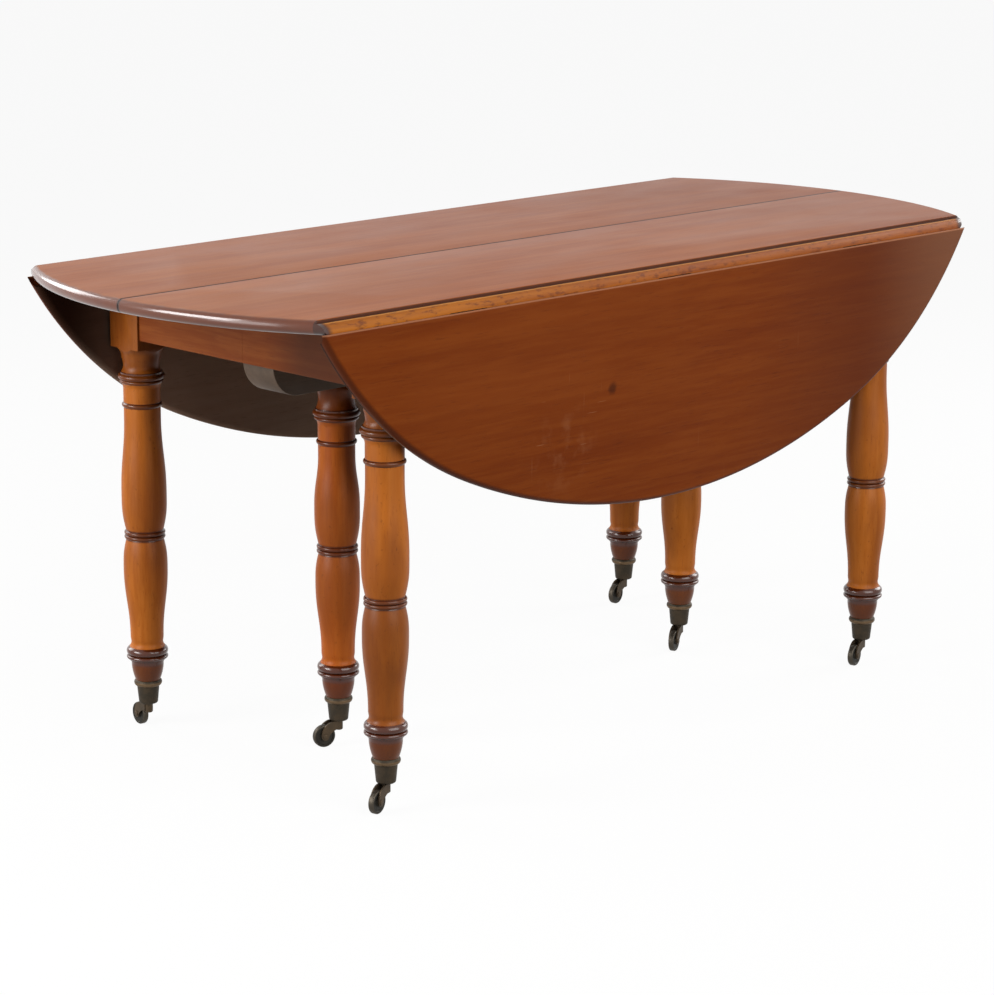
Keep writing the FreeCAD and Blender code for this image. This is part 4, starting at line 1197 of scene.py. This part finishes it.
# %% End aprons and side aprons
APRON, APRON_HEIGHT, APRON_SETBACK = 22 * MM, 98 * MM, 4 * MM
APRON_SPLIT = 0.1 * MM   # the end aprons close tighter than the top
PLANED = 1.2 * MM
APRON_LOW = UNDER_Z - APRON_HEIGHT
LEG_X, LEG_Y = LEG_AXIS["far_right"]
BLOCK_IN_X, BLOCK_IN_Y = LEG_X - BLOCK / 2, LEG_Y - BLOCK / 2
END_FACE = LEG_X + BLOCK / 2 - APRON_SETBACK
SIDE_FACE = LEG_Y + BLOCK / 2 - APRON_SETBACK
LOPER_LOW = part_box("far_lopers")[0].z
LOPER_X, LOPER_HALF = 0.32, 17.3 * MM

far_right = block("far_right_end_apron_piece", (END_FACE - APRON, APRON_SPLIT, APRON_LOW),
                  (END_FACE, BLOCK_IN_Y, UNDER_Z))
round_edges(far_right, lambda e: along(e, Y_AXIS) and middle(e).z < APRON_LOW + MM, PLANED)
far_left = mirror_copy(far_right, "far_left_end_apron_piece", X_AXIS)
near_right = mirror_copy(far_right, "near_right_end_apron_piece", Y_AXIS)
near_left = mirror_copy(far_left, "near_left_end_apron_piece", Y_AXIS)
far_side = block("far_side_apron_piece", (-BLOCK_IN_X, SIDE_FACE - APRON, APRON_LOW),
                 (BLOCK_IN_X, SIDE_FACE, UNDER_Z))
round_edges(far_side, lambda e: along(e, X_AXIS) and middle(e).z < APRON_LOW + MM, PLANED)
for x in (-LOPER_X, LOPER_X):
    cut(far_side, block("notch", (x - LOPER_HALF, SIDE_FACE - APRON - TOOL_REACH, LOPER_LOW),
                        (x + LOPER_HALF, SIDE_FACE + TOOL_REACH, UNDER_Z + TOOL_REACH)))
near_side = mirror_copy(far_side, "near_side_apron_piece", Y_AXIS)
for piece in (far_right, far_left, near_right, near_left):
    settle(piece, piece.name.removesuffix("_piece"), "end_apron")
for piece in (far_side, near_side):
    settle(piece, piece.name.removesuffix("_piece"), "side_apron")

# %% Centre beam
BEAM_NOSE, BEAM_EASE = 48 * MM, 1.5 * MM
NOSE_STEPS = 14
SHARP = math.radians(60)
beam_low, beam_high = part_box("centre_beam")

beam = block("centre_beam_piece", beam_low, beam_high)
round_edges(beam, lambda e: along(e, Y_AXIS) and middle(e).z < beam_low.z + MM, BEAM_NOSE, NOSE_STEPS)
round_edges(beam, lambda e: not along(e, Y_AXIS) and len(e.link_faces) == 2
            and e.calc_face_angle() > SHARP and middle(e).z < beam_high.z - MM, BEAM_EASE, 2)
settle(beam, "centre_beam", "bare_along")

# %% [markdown]
# ## Castors
#
# A castor is a cup that the leg's foot stands in, a horn that swivels under it, and a small wheel. The
# cup and the wheel are turned, so they are spun profiles. The horn is cast: its arms are a drawn outline
# with the thickness of the casting, joined to a round neck. One castor is made, trailing along +X, and
# then copied and turned to where each wheel points in the photograph.

# %% Sizes of a castor
WHEEL_R = joints["near_left_roll"]["pos_m"][2]
TRAIL = math.dist(joints["near_left_roll"]["pos_m"][:2], joints["near_left_swivel"]["pos_m"][:2])
SOCKET_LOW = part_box("near_left_castor_socket")[0].z
SOCKET_TOP_R, SOCKET_FOOT_R = 16.8 * MM, 14.4 * MM
SOCKET_RING_R, SOCKET_RING_HEIGHT = 21.0 * MM, 10.0 * MM
SOCKET_ROUND, SOCKET_WALL, SOCKET_FLOOR = 3.0 * MM, 2.6 * MM, 4.2 * MM
WHEEL_HALF, WHEEL_ROUND = 4.5 * MM, 2.0 * MM
WHEEL_DISH, WHEEL_RIM, HUB_R, BORE_R = 1.2 * MM, 4.5 * MM, 5.5 * MM, 2.55 * MM
CASTOR_TURN = {}
for leg in LEGS:
    trailing = Vector(joints[f"{leg}_roll"]["pos_m"]).to_2d() - LEG_AXIS[leg]
    CASTOR_TURN[leg] = math.atan2(trailing.y, trailing.x)
print("wheels trail", round(TRAIL / MM, 1), "mm, turned",
      {leg: round(math.degrees(angle)) for leg, angle in CASTOR_TURN.items()})

# %% Cup
CUP_RUB, CUP_DULL = 0.85, 0.05           # how bright the cup's ring and the rest of it are
RUB_LOW, RUB_HIGH = FOOT_Z - 9 * MM, FOOT_Z - 4 * MM


def castor_cup():
    ring_low = FOOT_Z - SOCKET_RING_HEIGHT
    cup = LegPencil("castor_cup", SOCKET_FOOT_R - SOCKET_WALL, SOCKET_LOW + SOCKET_FLOOR)
    cup.to(SOCKET_TOP_R - SOCKET_WALL, FOOT_Z)
    cup.step(CUP_FOOT_R)
    cup.arc_through((SOCKET_RING_R, 0, FOOT_Z - SOCKET_RING_HEIGHT / 2), (SOCKET_TOP_R, 0, ring_low), 10)
    cup.to(SOCKET_FOOT_R, SOCKET_LOW + SOCKET_ROUND)
    cup.arc((SOCKET_FOOT_R - SOCKET_ROUND, 0, SOCKET_LOW + SOCKET_ROUND), QUARTER, 5)
    return cup.solid()


def rub(piece, rule):
    """Marks where a casting is rubbed bright, in a vertex attribute that the finish reads."""
    marks = piece.data.attributes.new("rub", "FLOAT", "POINT")
    for vertex, mark in zip(piece.data.vertices, marks.data):
        mark.value = rule(vertex.co)


cup = castor_cup()
rub(cup, lambda at: CUP_RUB if RUB_LOW < at.z < RUB_HIGH else CUP_DULL)
print("cup", sizes(cup.dimensions))

# %% Horn
HORN_R, HORN_ROUND = 6.2 * MM, 2.2 * MM
HORN_TOP, HORN_BOTTOM = SOCKET_LOW - 0.4 * MM, WHEEL_R + 7 * MM
ARM_INNER, ARM_OUTER = 4.9 * MM, 7.5 * MM
ARM_RUN, ARM_EYE_R = 11 * MM, 6 * MM
BOW, HOLLOW = Vector((1.3 * MM, 0, 14.6 * MM)), Vector((-9.5 * MM, 0, 4.5 * MM))
RIVET_R, RIVET_HEIGHT, RIVET_ROUND = 4.0 * MM, 1.2 * MM, 0.8 * MM
HORN_RUB = 0.25
heel_z = HORN_BOTTOM + HORN_ROUND


def horn_arm():
    """One arm: its outline in the wheel's plane, given the thickness of the casting."""
    eye = Vector((TRAIL, ARM_INNER, WHEEL_R))
    side = Pencil("castor_horn", (0, ARM_INNER, HORN_TOP), Y_AXIS)
    side.line((ARM_RUN, ARM_INNER, HORN_TOP))
    side.arc_through(eye + BOW, eye + ARM_EYE_R * X_AXIS, 12)
    side.arc(eye, math.pi, 12)
    side.arc_through(eye + HOLLOW, (HORN_R, ARM_INNER, heel_z), 10)
    side.line((0, ARM_INNER, heel_z))
    return side.prism((ARM_OUTER - ARM_INNER) * Y_AXIS)


def castor_horn():
    horn = horn_arm()
    cut(horn, mirror_copy(horn, "other_arm", Y_AXIS), "UNION")
    cut(horn, block("web", (0, -ARM_OUTER, heel_z), (HORN_R, ARM_OUTER, HORN_TOP)), "UNION")
    neck = LegPencil("neck", HORN_R, HORN_TOP)
    neck.to(HORN_R, heel_z)
    neck.arc((HORN_R - HORN_ROUND, 0, heel_z), QUARTER, 4)
    cut(horn, neck.solid(), "UNION")
    for side in (-1, 1):
        rivet = rod("rivet", RIVET_R, 2 * RIVET_HEIGHT, (TRAIL, side * ARM_OUTER, WHEEL_R), (QUARTER, 0, 0))
        round_edges(rivet, lambda e: abs(middle(e).y) > ARM_OUTER and not along(e, Y_AXIS), RIVET_ROUND)
        cut(horn, rivet, "UNION")
    return close_up(horn)


horn = castor_horn()
rub(horn, lambda at: HORN_RUB)
print("horn", sizes(horn.dimensions))

# %% Wheel
TREAD_RUB, WHEEL_DULL = 0.8, 0.1         # how bright the tread and the rest of the wheel are
TREAD_DEPTH = 1.5 * MM
WHEEL_STEPS = 48


def castor_wheel():
    """A turned wheel with dished sides, spun about its axle."""
    def rim(radius, y):
        return (TRAIL, y, WHEEL_R + radius)

    flat = WHEEL_HALF - WHEEL_ROUND
    tread = WHEEL_R - WHEEL_ROUND
    edge = Pencil("castor_wheel", rim(BORE_R, -WHEEL_HALF), X_AXIS)
    edge.line(rim(HUB_R, -WHEEL_HALF), rim(HUB_R + WHEEL_DISH / 2, -WHEEL_HALF + WHEEL_DISH))
    edge.line(rim(WHEEL_R - WHEEL_RIM, -WHEEL_HALF + WHEEL_DISH), rim(WHEEL_R - WHEEL_RIM + MM, -WHEEL_HALF))
    edge.line(rim(tread, -WHEEL_HALF))
    edge.arc(rim(tread, -flat), -QUARTER, 4)
    edge.line(rim(WHEEL_R, flat))
    edge.arc(rim(tread, flat), -QUARTER, 4)
    edge.line(rim(WHEEL_R - WHEEL_RIM + MM, WHEEL_HALF), rim(WHEEL_R - WHEEL_RIM, WHEEL_HALF - WHEEL_DISH))
    edge.line(rim(HUB_R + WHEEL_DISH / 2, WHEEL_HALF - WHEEL_DISH), rim(HUB_R, WHEEL_HALF))
    edge.line(rim(BORE_R, WHEEL_HALF), rim(BORE_R, -WHEEL_HALF))
    return edge.turned(rim(0, 0), Y_AXIS, WHEEL_STEPS)


wheel = castor_wheel()
tread_from = WHEEL_R - TREAD_DEPTH
rub(wheel, lambda at: TREAD_RUB if math.dist((at.x, at.z), (TRAIL, WHEEL_R)) > tread_from else WHEEL_DULL)
print("wheel", sizes(wheel.dimensions))

# %% A castor under each leg
for leg in LEGS:
    for model, slot in ((cup, "castor_brass"), (horn, "castor_brass"), (wheel, "wheel_iron")):
        part = model.name.replace("cup", "socket").removeprefix("castor_")
        piece = copy(model, f"{leg}_castor_{part}_piece")
        turn(piece, CASTOR_TURN[leg], "Z", (0, 0, 0))
        move(piece, LEG_AXIS[leg].to_3d())
        settle(piece, f"{leg}_castor_{part}", slot)
discard(cup, horn, wheel)

# %% [markdown]
# ## What stays as the CAD made it
#
# Runners, lopers, keepers, pegs and hinges already have their true shape, and they are hidden while
# the table is closed. They keep their CAD meshes and only get a finish, with the grain along each bar.

# %% Finishes for the hidden works
WORKS = {"runner": "bare_across", "lopers": "bare_across", "keepers": "bare_across", "pegs": "bare_across",
         "hinge": "hinge_iron"}
for name, node in frame["nodes"].items():
    for word, finish in WORKS.items():
        if word in name:
            node.data.materials.clear()
            node.data.materials.append(FINISHES[finish])
print("works finished:", sum(any(word in name for word in WORKS) for name in frame["nodes"]), "nodes")
